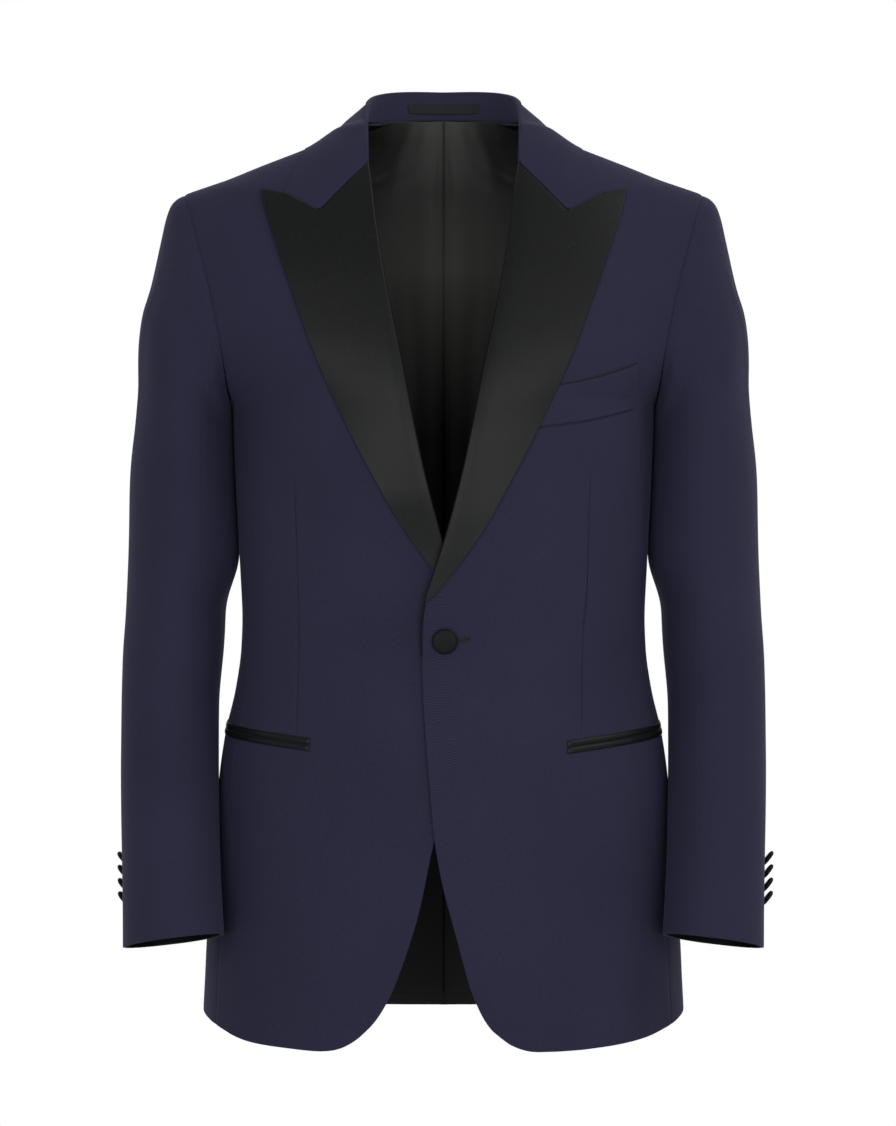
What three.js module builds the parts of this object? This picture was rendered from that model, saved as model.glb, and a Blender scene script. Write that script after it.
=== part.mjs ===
import * as THREE from "three";

// Sizes in millimetres, +Z up, the wearer's left at +X, the front towards -Y.
const CLOTH = 2.0;
const SATIN = 1.6;
const COLLAR = 1.8;
const LINING = 1.2;
const SEAM = 0.17;
const REST = 0.4;
const WELT_REST = 0.6;
const LAPEL_REST = 1.2;
const LEAF_REST = 1.6;
const LEAF_BELLY = 4;
const LINING_REST = 0.6;
const ROUND = 2.2;
const ROLL = 3.2;
const BUTTON_WIDE = 20.8;
const BUTTON_THICK = 3.6;
const BUTTON_AT = { x: 1.2, z: -423 };
const CUFF_BUTTON_WIDE = 14.5;
const CUFF_BUTTON_THICK = 4.2;
const CUFF_BUTTON_TILT = 34;
const CUFF_BUTTON_ANGLE_LEFT = 345;
const CUFF_BUTTON_ANGLE_RIGHT = 334;
const CUFF_BUTTON_LEVELS = [-597.9, -607.9, -617.9, -627.9];
const JET_TALL = 5.2;

// The worn body form, level by level: half its width, and its depth before and behind
const FORM = [
  { z: 20, half: 58, front: 14, back: 80 },
  { z: 14, half: 62.5, front: 20, back: 82 },
  { z: 10, half: 65.5, front: 26, back: 83 },
  { z: 6, half: 71, front: 32, back: 84 },
  { z: 0, half: 86, front: 40, back: 85 },
  { z: -10, half: 103.5, front: 47.5, back: 87 },
  { z: -31, half: 155.5, front: 60, back: 91 },
  { z: -42, half: 182.5, front: 66.5, back: 93.5 },
  { z: -54, half: 216, front: 73, back: 96 },
  { z: -70, half: 234, front: 81, back: 100 },
  { z: -90, half: 242, front: 90, back: 105 },
  { z: -120, half: 243, front: 102, back: 112 },
  { z: -150, half: 238, front: 111, back: 118 },
  { z: -180, half: 224, front: 119, back: 122 },
  { z: -205, half: 200, front: 124.5, back: 124 },
  { z: -220, half: 184, front: 127, back: 124.7 },
  { z: -228, half: 176, front: 128, back: 125 },
  { z: -260, half: 174, front: 130.5, back: 123 },
  { z: -300, half: 172, front: 130, back: 116 },
  { z: -350, half: 169.5, front: 124, back: 105 },
  { z: -400, half: 167.5, front: 118, back: 98 },
  { z: -430, half: 168.5, front: 116.5, back: 97.5 },
  { z: -466, half: 173.5, front: 117, back: 101 },
  { z: -500, half: 181.5, front: 119.5, back: 107 },
  { z: -540, half: 187, front: 123, back: 114 },
  { z: -600, half: 191, front: 127, back: 121 },
  { z: -640, half: 194.5, front: 129, back: 124 },
  { z: -675, half: 197.2, front: 130.5, back: 126 },
  { z: -700, half: 198.4, front: 131, back: 127 },
  { z: -730, half: 200, front: 132, back: 128 },
  { z: -760, half: 201, front: 132.5, back: 129 },
];

// How far out the armhole seam lies at each level
const ARMHOLE = [
  { z: -54, out: 216 },
  { z: -70, out: 209.5 },
  { z: -90, out: 204 },
  { z: -120, out: 195.5 },
  { z: -150, out: 188.5 },
  { z: -180, out: 182.5 },
  { z: -205, out: 179 },
  { z: -228, out: 176 },
];
const ARMHOLE_MIDDLE = -141;
const ARMHOLE_REACH = 87;
const FRONT_NOTCH = 138;
const BACK_NOTCH = 225;

// Seams, as depth y at each level z
const FRONT_SEAM = [
  { z: -260, y: -56 },
  { z: -330, y: -50 },
  { z: -407, y: -48 },
  { z: -480, y: -50 },
  { z: -560, y: -52 },
  { z: -650, y: -53 },
  { z: -738.5, y: -54 },
];
const BACK_SEAM = [
  { z: -260, y: 62 },
  { z: -330, y: 60 },
  { z: -407, y: 56 },
  { z: -480, y: 64 },
  { z: -560, y: 73 },
  { z: -650, y: 79 },
  { z: -737, y: 84 },
];
const SIDE_HEM = [
  { y: -54, z: -738.5 },
  { y: -30, z: -733.5 },
  { y: 0, z: -730 },
  { y: 40, z: -732 },
  { y: 84, z: -737 },
];
const BACK_HEM = [
  { x: 130, z: -739 },
  { x: 90, z: -740.5 },
  { x: 45, z: -742 },
  { x: 0, z: -742.5 },
];
const SHOULDER_SEAM_Y = 10;

// Neckline, from the centre back round the side to the gorge
const NECKLINE = [
  { x: 0, z: 17, side: 1 },
  { x: 26, z: 16, side: 1 },
  { x: 45, z: 13.5, side: 1 },
  { x: 58, z: 11, side: 1 },
  { x: 66, z: 8.8, side: 1 },
];
const NECK_FRONT = [
  { x: 69, z: 3.5 },
  { x: 70, z: -6 },
  { x: 69, z: -18 },
];

// Roll line of the lapels, then the gorge, notch, collar point and peak
const ROLL_LINE = [
  { x: 61, z: -32 },
  { x: 58.5, z: -48 },
  { x: 55, z: -77 },
  { x: 49.5, z: -113 },
  { x: 42, z: -155 },
  { x: 32.5, z: -200 },
  { x: 23.5, z: -246 },
  { x: 13.5, z: -292 },
  { x: 1.5, z: -337 },
  { x: -9, z: -370 },
  { x: -15.6, z: -390 },
];
const GORGE = { x: 61, z: -32 };
const NOTCH = { x: 101, z: -74 };
const COLLAR_POINT = { x: 130.5, z: -58 };
const PEAK = { x: 149.5, z: -54.4 };
const LAPEL_EDGE = [
  { x: 149.5, z: -54.4 },
  { x: 145, z: -74 },
  { x: 133, z: -111 },
  { x: 119, z: -151 },
  { x: 104, z: -191 },
  { x: 83, z: -238 },
  { x: 58, z: -287 },
  { x: 31.3, z: -334 },
  { x: 7.7, z: -367 },
  { x: -8, z: -386.5 },
];

// Front edges below the lapels: the wearer's left lies over the right
const EDGE_OVER = [
  { x: -15.9, z: -398 },
  { x: -16.9, z: -421.7 },
  { x: -16.9, z: -449.6 },
  { x: -14.9, z: -491 },
  { x: -11.2, z: -538 },
  { x: -7.1, z: -583 },
  { x: -0.2, z: -621 },
  { x: 9.6, z: -657 },
  { x: 24.8, z: -710 },
  { x: 37.2, z: -732.5 },
];
const EDGE_UNDER = [
  { x: -15.9, z: -398 },
  { x: -16.9, z: -421 },
  { x: -16, z: -450 },
  { x: -13, z: -491 },
  { x: -5, z: -538 },
  { x: 8.2, z: -587 },
  { x: 12.7, z: -608 },
  { x: 19.7, z: -641 },
  { x: 30.8, z: -677 },
  { x: 44.7, z: -711.8 },
  { x: 56, z: -729 },
];
const HEM_OVER = [
  { x: 37.2, z: -732.5 },
  { x: 51.3, z: -745 },
  { x: 67.8, z: -751.8 },
  { x: 84.7, z: -752.8 },
  { x: 121.3, z: -751.6 },
  { x: 161.8, z: -746.6 },
];
const HEM_UNDER = [
  { x: 56, z: -729 },
  { x: 69.8, z: -742.6 },
  { x: 83.9, z: -750.4 },
  { x: 97.8, z: -752.8 },
  { x: 124, z: -751.8 },
  { x: 162, z: -748 },
];

// How far the over front stands out, and the under front in, where they lap
const LAP = [
  { z: -250, by: 0 },
  { z: -300, by: 1 },
  { z: -330, by: 3.1 },
  { z: -355, by: 4.1 },
  { z: -380, by: 4 },
  { z: -400, by: 3.2 },
  { z: -440, by: 1.5 },
  { z: -590, by: 1.5 },
  { z: -640, by: 0.6 },
  { z: -680, by: 0 },
];
const LAP_FULL = 22;
const LAP_NONE = 72;

// Collar fold from the centre back round the side of the neck to the gorge, and its outer edge
const COLLAR_FOLD = [
  { x: 0, y: 84, z: 42.5 },
  { x: 28, y: 80.5, z: 42.5 },
  { x: 46, y: 71, z: 40.5 },
  { x: 57, y: 56, z: 36.5 },
  { x: 61.5, y: 38, z: 31 },
  { x: 62.8, y: 18, z: 25 },
  { x: 62.8, y: 0, z: 17 },
  { x: 62.4, y: -20, z: 6 },
  { x: 62, y: -38, z: -8 },
  { x: 61.5, y: -50, z: -20 },
];
const COLLAR_EDGE = [
  { x: 0, z: -5, side: 1 },
  { x: 38, z: -6, side: 1 },
  { x: 72, z: -10, side: 1 },
  { x: 97, z: -14.5, side: 1 },
  { x: 113, z: -17, side: 1 },
  { x: 121, z: -20.5, side: -1 },
  { x: 126, z: -32, side: -1 },
];

// Sleeve rings below the armhole: tilt to the side, lean to the front, edges, middle and depth
const SLEEVE = [
  { z: -248.5, tilt: 13.5, lean: 0, outer: 256, inner: 174.8, middle: 4, deep: 152 },
  { z: -300, tilt: 8, lean: 0, outer: 261, inner: 172.5, middle: 6, deep: 146 },
  { z: -350, tilt: 3, lean: 0, outer: 262.3, inner: 170.4, middle: 7.5, deep: 138 },
  { z: -400, tilt: 0, lean: 0, outer: 264.5, inner: 180.6, middle: 6, deep: 130 },
  { z: -440, tilt: 0, lean: 0, outer: 266.8, inner: 184.6, middle: 0, deep: 125 },
  { z: -480, tilt: 0, lean: 0, outer: 267.4, inner: 186.7, middle: -8, deep: 120 },
  { z: -520, tilt: 0, lean: 1, outer: 267, inner: 186.2, middle: -21, deep: 114 },
  { z: -560, tilt: -1, lean: 2.7, outer: 265.4, inner: 184.8, middle: -40, deep: 107 },
  { z: -600, tilt: -2.5, lean: 4.4, outer: 263.2, inner: 183, middle: -58, deep: 101 },
  { z: -640, tilt: -4.5, lean: 6.1, outer: 261.4, inner: 180.4, middle: -73, deep: 97 },
  { z: -667.5, tilt: -5.5, lean: 7, outer: 260.6, inner: 178.2, middle: -81.5, deep: 95 },
];
const SLEEVE_ROUND = 2.1;

// The sleeve head, from the armhole seam to the first ring: share gone out and share dropped
const HEAD = [
  { s: 0, out: 0, drop: 0 },
  { s: 0.07, out: 0.21, drop: 0.028 },
  { s: 0.16, out: 0.34, drop: 0.085 },
  { s: 0.3, out: 0.49, drop: 0.225 },
  { s: 0.5, out: 0.7, drop: 0.43 },
  { s: 0.65, out: 0.88, drop: 0.57 },
  { s: 0.78, out: 0.945, drop: 0.72 },
  { s: 0.9, out: 0.95, drop: 0.86 },
  { s: 1, out: 1, drop: 1 },
];
const HIND_SEAM = [
  { s: 0, turn: 0 },
  { s: 1, turn: 0 },
  { s: 1.4, turn: 10 },
  { s: 2, turn: 54 },
];
const SLEEVE_LINING = { top: 1.84, low: 1.975 };

// Pockets: ends of the jets and the corners of the breast welt
const POCKETS = [
  { side: -1, name: "right", front: { x: 108, z: -507 }, back: { x: 176, z: -498 }, end: { y: 14, z: -495 } },
  { side: 1, name: "left", front: { x: 100, z: -509 }, back: { x: 175, z: -498.5 }, end: { y: 14, z: -495.5 } },
];
const WELT_TOP = [
  { x: 96.5, z: -216.5 },
  { x: 127, z: -209 },
  { x: 158.8, z: -197.5 },
];
const WELT_LOW = [
  { x: 80.5, z: -250.4 },
  { x: 118, z: -244.5 },
  { x: 156, z: -233.8 },
];

const PAINT = {
  navy: { color: "#2a2a3e", roughness: 0.82 },
  satin: { color: "#2a2b2e", roughness: 0.38 },
  lining: { color: "#17181d", roughness: 0.5 },
};
const jacket = new THREE.Group();
jacket.name = "jacket";

// Tables read as smooth curves
function track(rows, key, value) {
  const list = rows.slice().sort((a, b) => a[key] - b[key]);
  const k = list.map((row) => row[key]);
  const v = list.map((row) => row[value]);
  const slope = k.slice(1).map((at, i) => (v[i + 1] - v[i]) / (at - k[i]));
  const tangent = k.map((_, i) => {
    if (i === 0) return slope[0];
    if (i === k.length - 1) return slope[i - 1];
    if (slope[i - 1] * slope[i] <= 0) return 0;
    return (2 * slope[i - 1] * slope[i]) / (slope[i - 1] + slope[i]);
  });
  return (at) => {
    if (at <= k[0]) return v[0] + (at - k[0]) * tangent[0];
    const last = k.length - 1;
    if (at >= k[last]) return v[last] + (at - k[last]) * tangent[last];
    let i = 0;
    while (at > k[i + 1]) i += 1;
    const h = k[i + 1] - k[i];
    const t = (at - k[i]) / h;
    const a = 2 * t ** 3 - 3 * t ** 2 + 1;
    const b = t ** 3 - 2 * t ** 2 + t;
    const c = 3 * t ** 2 - 2 * t ** 3;
    const d = t ** 3 - t ** 2;
    return a * v[i] + b * h * tangent[i] + c * v[i + 1] + d * h * tangent[i + 1];
  };
}
const halfAt = track(FORM, "z", "half");
const frontAt = track(FORM, "z", "front");
const backAt = track(FORM, "z", "back");
const armholeOut = track(ARMHOLE, "z", "out");
const lapAt = track(LAP, "z", "by");
const vec = (x, y, z) => new THREE.Vector3(x, y, z);
const mix = (a, b, t) => a + (b - a) * t;
const clamp = (t) => Math.min(1, Math.max(0, t));
const ease = (t) => clamp(t) ** 2 * (3 - 2 * clamp(t));

// The form's surface: its level function, slope, outward direction and nearest point
function level(p) {
  const deep = p.y < 0 ? frontAt(p.z) : backAt(p.z);
  return (Math.abs(p.x) / halfAt(p.z)) ** ROUND + (Math.abs(p.y) / deep) ** ROUND - 1;
}
function slopeAt(p) {
  const d = 0.05;
  const along = (dx, dy, dz) => {
    const ahead = level(vec(p.x + dx, p.y + dy, p.z + dz));
    const behind = level(vec(p.x - dx, p.y - dy, p.z - dz));
    return (ahead - behind) / (2 * d);
  };
  return vec(along(d, 0, 0), along(0, d, 0), along(0, 0, d));
}
function settle(point) {
  const p = point.clone();
  for (let i = 0; i < 12; i += 1) {
    const g = slopeAt(p);
    const step = THREE.MathUtils.clamp(level(p) / Math.max(g.lengthSq(), 1e-9) * g.length(), -15, 15);
    p.addScaledVector(g.normalize(), -step);
  }
  return p;
}
const outward = (p) => slopeAt(p).normalize();
function faceAt(x, z, side = -1) {
  const deep = side < 0 ? frontAt(z) : backAt(z);
  const share = clamp(1 - (Math.abs(x) / halfAt(z)) ** ROUND);
  return vec(x, side * deep * share ** (1 / ROUND), z);
}
function flankAt(y, z) {
  const deep = y < 0 ? frontAt(z) : backAt(z);
  return vec(halfAt(z) * clamp(1 - (Math.abs(y) / deep) ** ROUND) ** (1 / ROUND), y, z);
}
const lapShare = (x) => 1 - ease((Math.abs(x) - LAP_FULL) / (LAP_NONE - LAP_FULL));

// The armhole seam at an angle round it: 0 at the shoulder, 90 in front, 180 underneath
function armhole(angle) {
  const t = THREE.MathUtils.degToRad(angle);
  const z = ARMHOLE_MIDDLE + ARMHOLE_REACH * Math.cos(t);
  const x = armholeOut(z);
  const side = Math.sin(t) >= 0 ? -1 : 1;
  const deep = side < 0 ? frontAt(z) : backAt(z);
  const share = clamp(1 - (x / halfAt(z)) ** ROUND);
  return vec(x, side * deep * share ** (1 / ROUND), z);
}

// Evenly or unevenly spaced points along a smooth line through the given ones
const shares = (count) => Array.from({ length: count + 1 }, (_, i) => i / count);
function along(points, at) {
  const curve = new THREE.CatmullRomCurve3(points, false, "centripetal");
  curve.arcLengthDivisions = 400;
  return at.map((t) => curve.getPointAt(clamp(t)));
}
function chain(...runs) {
  return runs.flatMap((run, i) => (i === 0 ? run : run.slice(1)));
}

// A patch between four edges, each interior point blended from them
function patch(top, bottom, left, right, across) {
  const rows = left.length - 1;
  return left.map((_, j) => {
    const v = j / rows;
    return top.map((__, i) => {
      if (j === 0) return top[i].clone();
      if (j === rows) return bottom[i].clone();
      if (i === 0) return left[j].clone();
      if (i === top.length - 1) return right[j].clone();
      const u = across[i];
      const p = top[i].clone().multiplyScalar(1 - v).addScaledVector(bottom[i], v);
      p.addScaledVector(left[j], 1 - u).addScaledVector(right[j], u);
      p.addScaledVector(top[0], -(1 - u) * (1 - v)).addScaledVector(top[top.length - 1], -u * (1 - v));
      p.addScaledVector(bottom[0], -(1 - u) * v).addScaledVector(bottom[top.length - 1], -u * v);
      return p;
    });
  });
}

// The same patch worked out in angle and level round the form
function angleOf(p) {
  const deep = p.y < 0 ? frontAt(p.z) : backAt(p.z);
  const far = clamp(Math.abs(p.y) / deep);
  const wide = clamp(Math.abs(p.x) / halfAt(p.z));
  const t = far < 0.6 ? Math.acos(far ** (ROUND / 2)) : Math.asin(wide ** (ROUND / 2));
  return p.y < 0 ? t : Math.PI - t;
}
function ringPoint(t, z) {
  const deep = t < Math.PI / 2 ? frontAt(z) : backAt(z);
  const c = Math.cos(t);
  const x = halfAt(z) * Math.abs(Math.sin(t)) ** (2 / ROUND);
  return vec(x, -deep * Math.sign(c) * Math.abs(c) ** (2 / ROUND), z);
}
function ringPatch(top, bottom, left, right, across) {
  const flat = (list) => list.map((p) => vec(angleOf(p), p.z, 0));
  const cells = patch(flat(top), flat(bottom), flat(left), flat(right), across);
  const last = left.length - 1;
  return cells.map((row, j) => row.map((p, i) => {
    if (j === 0) return top[i].clone();
    if (j === last) return bottom[i].clone();
    if (i === 0) return left[j].clone();
    return ringPoint(p.x, p.y);
  }));
}

// Where a panel's own facets lie at x and z, so what rests on it clears them
function facetY(grid, x, z) {
  let best = Infinity;
  for (let j = 0; j < grid.length - 1; j += 1) {
    for (let i = 0; i < grid[0].length - 1; i += 1) {
      const [a, b, c, d] = [grid[j][i], grid[j + 1][i], grid[j + 1][i + 1], grid[j][i + 1]];
      for (const [p, q, r] of [[a, b, c], [a, c, d]]) {
        const area = (q.x - p.x) * (r.z - p.z) - (r.x - p.x) * (q.z - p.z);
        if (Math.abs(area) < 1e-6) continue;
        const u = ((x - p.x) * (r.z - p.z) - (r.x - p.x) * (z - p.z)) / area;
        const v = ((q.x - p.x) * (z - p.z) - (x - p.x) * (q.z - p.z)) / area;
        if (u < -0.02 || v < -0.02 || u + v > 1.02) continue;
        best = Math.min(best, p.y + u * (q.y - p.y) + v * (r.y - p.y));
      }
    }
  }
  return best;
}
function clearOf(grid, p, by) {
  const y = facetY(grid, p.x, p.z);
  const n = outward(p);
  const gap = (y - p.y) * Math.abs(n.y);
  return gap < by ? p.clone().addScaledVector(n, by - gap) : p.clone();
}

// Edges drawn in a little so the neighbours stay apart at each seam
function drawIn(grid, by = SEAM) {
  const rows = grid.length - 1;
  const columns = grid[0].length - 1;
  const moved = grid.map((row) => row.map((p) => p.clone()));
  const pull = (j, i, toJ, toI) => {
    const step = grid[toJ][toI].clone().sub(grid[j][i]);
    if (step.length() > 1e-6) moved[j][i].addScaledVector(step.normalize(), by);
  };
  for (let i = 0; i <= columns; i += 1) {
    pull(0, i, 1, i);
    pull(rows, i, rows - 1, i);
  }
  for (let j = 0; j <= rows; j += 1) {
    pull(j, 0, j, 1);
    pull(j, columns, j, columns - 1);
  }
  return moved;
}

// Directions square to a grid, worked out from its neighbours
function facing(grid) {
  const rows = grid.length - 1;
  const columns = grid[0].length - 1;
  return grid.map((row, j) =>
    row.map((_, i) => {
      const du = grid[j][Math.min(i + 1, columns)].clone().sub(grid[j][Math.max(i - 1, 0)]);
      const dv = grid[Math.min(j + 1, rows)][i].clone().sub(grid[Math.max(j - 1, 0)][i]);
      return dv.cross(du).normalize();
    })
  );
}

// A closed sheet: an outer face, an inner face and strips round the edge
function sheet(name, paint, outer, inner, mirror = false, ring = false) {
  const rows = outer.length;
  const columns = outer[0].length;
  const place = [];
  const faces = [];
  for (const grid of [outer, inner]) {
    for (const row of grid) {
      for (const p of row) place.push(mirror ? -p.x : p.x, p.y, p.z);
    }
  }
  const at = (face, j, i) => face * rows * columns + j * columns + (i % columns);
  const quad = (a, b, c, d) => {
    if (mirror) faces.push(a, c, b, a, d, c);
    else faces.push(a, b, c, a, c, d);
  };
  const wide = ring ? columns : columns - 1;
  for (let j = 0; j < rows - 1; j += 1) {
    for (let i = 0; i < wide; i += 1) {
      quad(at(0, j, i), at(0, j + 1, i), at(0, j + 1, i + 1), at(0, j, i + 1));
      quad(at(1, j, i), at(1, j, i + 1), at(1, j + 1, i + 1), at(1, j + 1, i));
    }
  }
  for (let i = 0; i < wide; i += 1) {
    quad(at(0, 0, i), at(0, 0, i + 1), at(1, 0, i + 1), at(1, 0, i));
    quad(at(0, rows - 1, i + 1), at(0, rows - 1, i), at(1, rows - 1, i), at(1, rows - 1, i + 1));
  }
  if (!ring) {
    for (let j = 0; j < rows - 1; j += 1) {
      quad(at(0, j + 1, 0), at(0, j, 0), at(1, j, 0), at(1, j + 1, 0));
      quad(at(0, j, columns - 1), at(0, j + 1, columns - 1), at(1, j + 1, columns - 1), at(1, j, columns - 1));
    }
  }
  const geometry = new THREE.BufferGeometry();
  geometry.setAttribute("position", new THREE.Float32BufferAttribute(place, 3));
  geometry.setIndex(faces);
  geometry.computeVertexNormals();
  const look = { color: new THREE.Color(paint.color), roughness: paint.roughness, metalness: 0 };
  const mesh = new THREE.Mesh(geometry, new THREE.MeshStandardMaterial(look));
  mesh.name = name;
  jacket.add(mesh);
  return mesh;
}
function moved(grid, normals, by) {
  return grid.map((row, j) => row.map((p, i) => p.clone().addScaledVector(normals[j][i], by)));
}

// Panels of the body, cut on the form
const rowsArm = 6;
const rowsSide = 13;
const rowsShoulder = 4;
const shoulderPoint = armhole(0);
const neckPoint = settle(vec(67, SHOULDER_SEAM_Y, 8));
const frontNotch = armhole(FRONT_NOTCH);
const backNotch = armhole(BACK_NOTCH);
function seamLine(start, rows, count) {
  const points = [start, ...rows.map((row) => flankAt(row.y, row.z))];
  return along(points, shares(count)).map(settle);
}
const frontSeam = seamLine(frontNotch, FRONT_SEAM, rowsSide);
const backSeam = seamLine(backNotch, BACK_SEAM, rowsSide);
const sideHem = along(SIDE_HEM.map((row) => flankAt(row.y, row.z)), shares(4)).map(settleLow);
function settleLow(p) {
  return flankAt(p.y, p.z);
}
function armholeRun(from, to, count) {
  return shares(count).map((t) => armhole(mix(from, to, t)));
}
function shoulderSeam(count, at = shares(count)) {
  const run = [0, 0.33, 0.66, 1].map((t) => {
    const x = mix(neckPoint.x, shoulderPoint.x, t);
    const y = mix(neckPoint.y, shoulderPoint.y, ease(t));
    return settle(vec(x, y, mix(neckPoint.z, shoulderPoint.z, t) + 1));
  });
  run[0] = neckPoint.clone();
  run[3] = shoulderPoint.clone();
  return along(run, at).map(settle);
}

// The direction lying on the form square to a line, pointing into the front
function inwardFrom(line, i) {
  const tangent = line[Math.min(i + 1, line.length - 1)].clone().sub(line[Math.max(i - 1, 0)]).normalize();
  const n = outward(line[i]);
  const m = n.clone().cross(tangent).normalize();
  return m.x < 0 ? m.negate() : m;
}
const onFront = (row) => faceAt(row.x, row.z, -1);
const rollDense = along(ROLL_LINE.map(onFront), shares(40)).map((p) => faceAt(p.x, p.z, -1));

function frontPanel(name, side, edgeRows, hemRows) {
  const across = [0, 0.04, 0.12, 0.26, 0.42, 0.58, 0.72, 0.86, 1];
  const setBack = ROLL + 0.9;
  const rollEdge = rollDense
    .map((p, i) => settle(p.clone().addScaledVector(inwardFrom(rollDense, i), setBack)))
    .filter((_, i) => i % 4 === 0 && i < 38);
  const neck = [neckPoint, ...NECK_FRONT.map(onFront), rollEdge[0]];
  const edge = [rollEdge[rollEdge.length - 1], ...edgeRows.map(onFront)];
  const rollRun = along(rollEdge, shares(8));
  const left = chain(along(neck, shares(3)), rollRun, along(edge, shares(rowsArm + rowsSide - 11)));
  const right = chain(armholeRun(0, FRONT_NOTCH, rowsArm), frontSeam);
  const hem = [...hemRows.map(onFront), frontSeam[frontSeam.length - 1]];
  const bottom = along(hem, across);
  const top = shoulderSeam(8, across);
  const flat = patch(top, bottom, left, right, across).map((row) => row.map(settle));
  const grid = drawIn(flat);
  const normals = grid.map((row) => row.map(outward));
  const lift = (p) => side * lapAt(p.z) * lapShare(p.x);
  const raise = (by) => grid.map((row, j) => row.map((p, i) => {
    return p.clone().addScaledVector(normals[j][i], lift(p) + by);
  }));
  const face = raise(0);
  sheet(name, PAINT.navy, face, raise(-CLOTH), side < 0);
  return face;
}
const overFront = frontPanel("front_left", 1, EDGE_OVER, HEM_OVER);
const underFront = frontPanel("front_right", -1, EDGE_UNDER, HEM_UNDER);

for (const [side, word] of [[1, "left"], [-1, "right"]]) {
  // Side panel under the armhole
  const across = shares(4);
  const top = armholeRun(FRONT_NOTCH, BACK_NOTCH, 4);
  const flat = patch(top, sideHem, frontSeam, backSeam, across);
  const grid = drawIn(flat.map((row) => row.map(settle)));
  const normals = grid.map((row) => row.map(outward));
  sheet(`side_${word}`, PAINT.navy, grid, moved(grid, normals, -CLOTH), side < 0);

  // Back with the centre seam, and its lining just inside
  const backAcross = [0, 0.14, 0.3, 0.48, 0.66, 0.84, 1];
  const neckPoints = [neckPoint, ...NECKLINE.slice().reverse().map((row) => faceAt(row.x, row.z, 1))];
  const backTop = along(neckPoints, backAcross);
  const backLeft = chain(shoulderSeam(rowsShoulder), armholeRun(360, BACK_NOTCH, rowsArm), backSeam);
  const levels = [17, 6, -8, -24, -42];
  const below = shares(rowsArm + rowsSide).map((t) => mix(-42, -742.5, t));
  const backRight = [...levels, ...below.slice(1)].map((z) => faceAt(0, z, 1));
  const hemPoints = [backSeam[rowsSide], ...BACK_HEM.map((row) => faceAt(row.x, row.z, 1))];
  const backBottom = along(hemPoints, backAcross);
  const backFlat = ringPatch(backTop, backBottom, backLeft, backRight, backAcross);
  for (const row of backFlat) row[row.length - 1].x = 0;
  const backGrid = drawIn(backFlat);
  const backNormals = backGrid.map((row) => row.map(outward));
  sheet(`back_${word}`, PAINT.navy, backGrid, moved(backGrid, backNormals, -CLOTH), side < 0);
  const shorten = (cells) => {
    const last = cells.length - 1;
    const short = cells.map((row) => row.map((p) => p.clone()));
    short[0].forEach((p, i) => p.lerp(cells[1][i], 0.85));
    short[last].forEach((p, i) => p.lerp(cells[last - 1][i], 0.24));
    return short;
  };
  const liningOuter = shorten(moved(backGrid, backNormals, -CLOTH - LINING_REST));
  const liningInner = shorten(moved(backGrid, backNormals, -CLOTH - LINING_REST - LINING));
  sheet(`lining_back_${word}`, PAINT.lining, liningOuter, liningInner, side < 0);
}

// Sleeves: the head eased on to the armhole, then rings down to the cuff
const sleeveTrack = {};
for (const key of ["tilt", "lean", "outer", "inner", "middle", "deep"]) {
  sleeveTrack[key] = track(SLEEVE, "z", key);
}
const headOut = track(HEAD, "s", "out");
const headDrop = track(HEAD, "s", "drop");
const hindTurn = track(HIND_SEAM, "s", "turn");
const SLEEVE_TOP = SLEEVE[0].z;
const SLEEVE_END = SLEEVE[SLEEVE.length - 1].z;
function sleeveRing(angle, z) {
  const t = THREE.MathUtils.degToRad(angle);
  const c = Math.cos(t);
  const s = Math.sin(t);
  const cx = (sleeveTrack.outer(z) + sleeveTrack.inner(z)) / 2;
  const rx = (sleeveTrack.outer(z) - sleeveTrack.inner(z)) / 2;
  const ry = sleeveTrack.deep(z) / 2;
  const power = 2 / SLEEVE_ROUND;
  const x = cx + rx * Math.sign(c) * Math.abs(c) ** power;
  const y = sleeveTrack.middle(z) - ry * Math.sign(s) * Math.abs(s) ** power;
  return vec(x, y, z + sleeveTrack.tilt(z) * c + sleeveTrack.lean(z) * s);
}
function sleeveAt(angle, w) {
  if (w >= 1) return sleeveRing(angle, mix(SLEEVE_TOP, SLEEVE_END, w - 1));
  const a = armhole(((angle % 360) + 360) % 360);
  a.x += 0.45;
  const b = sleeveRing(angle, SLEEVE_TOP);
  return vec(mix(a.x, b.x, headOut(w)), mix(a.y, b.y, ease(w)), mix(a.z, b.z, headDrop(w)));
}
function sleeveNormal(angle, w) {
  const e = 0.004;
  const low = Math.max(w, 0.02);
  const du = sleeveAt(angle + 1, low).sub(sleeveAt(angle - 1, low));
  const dw = sleeveAt(angle, low + e).sub(sleeveAt(angle, low - e));
  const n = du.cross(dw).normalize();
  if (w > 0.001) return n;
  const body = outward(armhole(((angle % 360) + 360) % 360));
  return n.lerp(body, clamp(n.dot(body))).normalize();
}
const sleeveLevels = [0, 0.07, 0.16, 0.3, 0.5, 0.65, 0.8, 1, 1.12, 1.25, 1.36, 1.48, 1.6, 1.72, 1.84, 1.93, 2];
const armSteps = (from, to, count) => shares(count).map((t) => mix(from, to, t));
const frontArm = armSteps(FRONT_NOTCH, 0, rowsArm).slice(1);
const backArm = armSteps(0, BACK_NOTCH - 360, rowsArm).slice(1, 5);
const topAngles = [...frontArm, ...backArm];
const underBack = armSteps(360, BACK_NOTCH, rowsArm).slice(4);
const underMiddle = armSteps(BACK_NOTCH, FRONT_NOTCH, 4).slice(1);
const underAngles = [...underBack, ...underMiddle, frontArm[0]];
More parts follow.
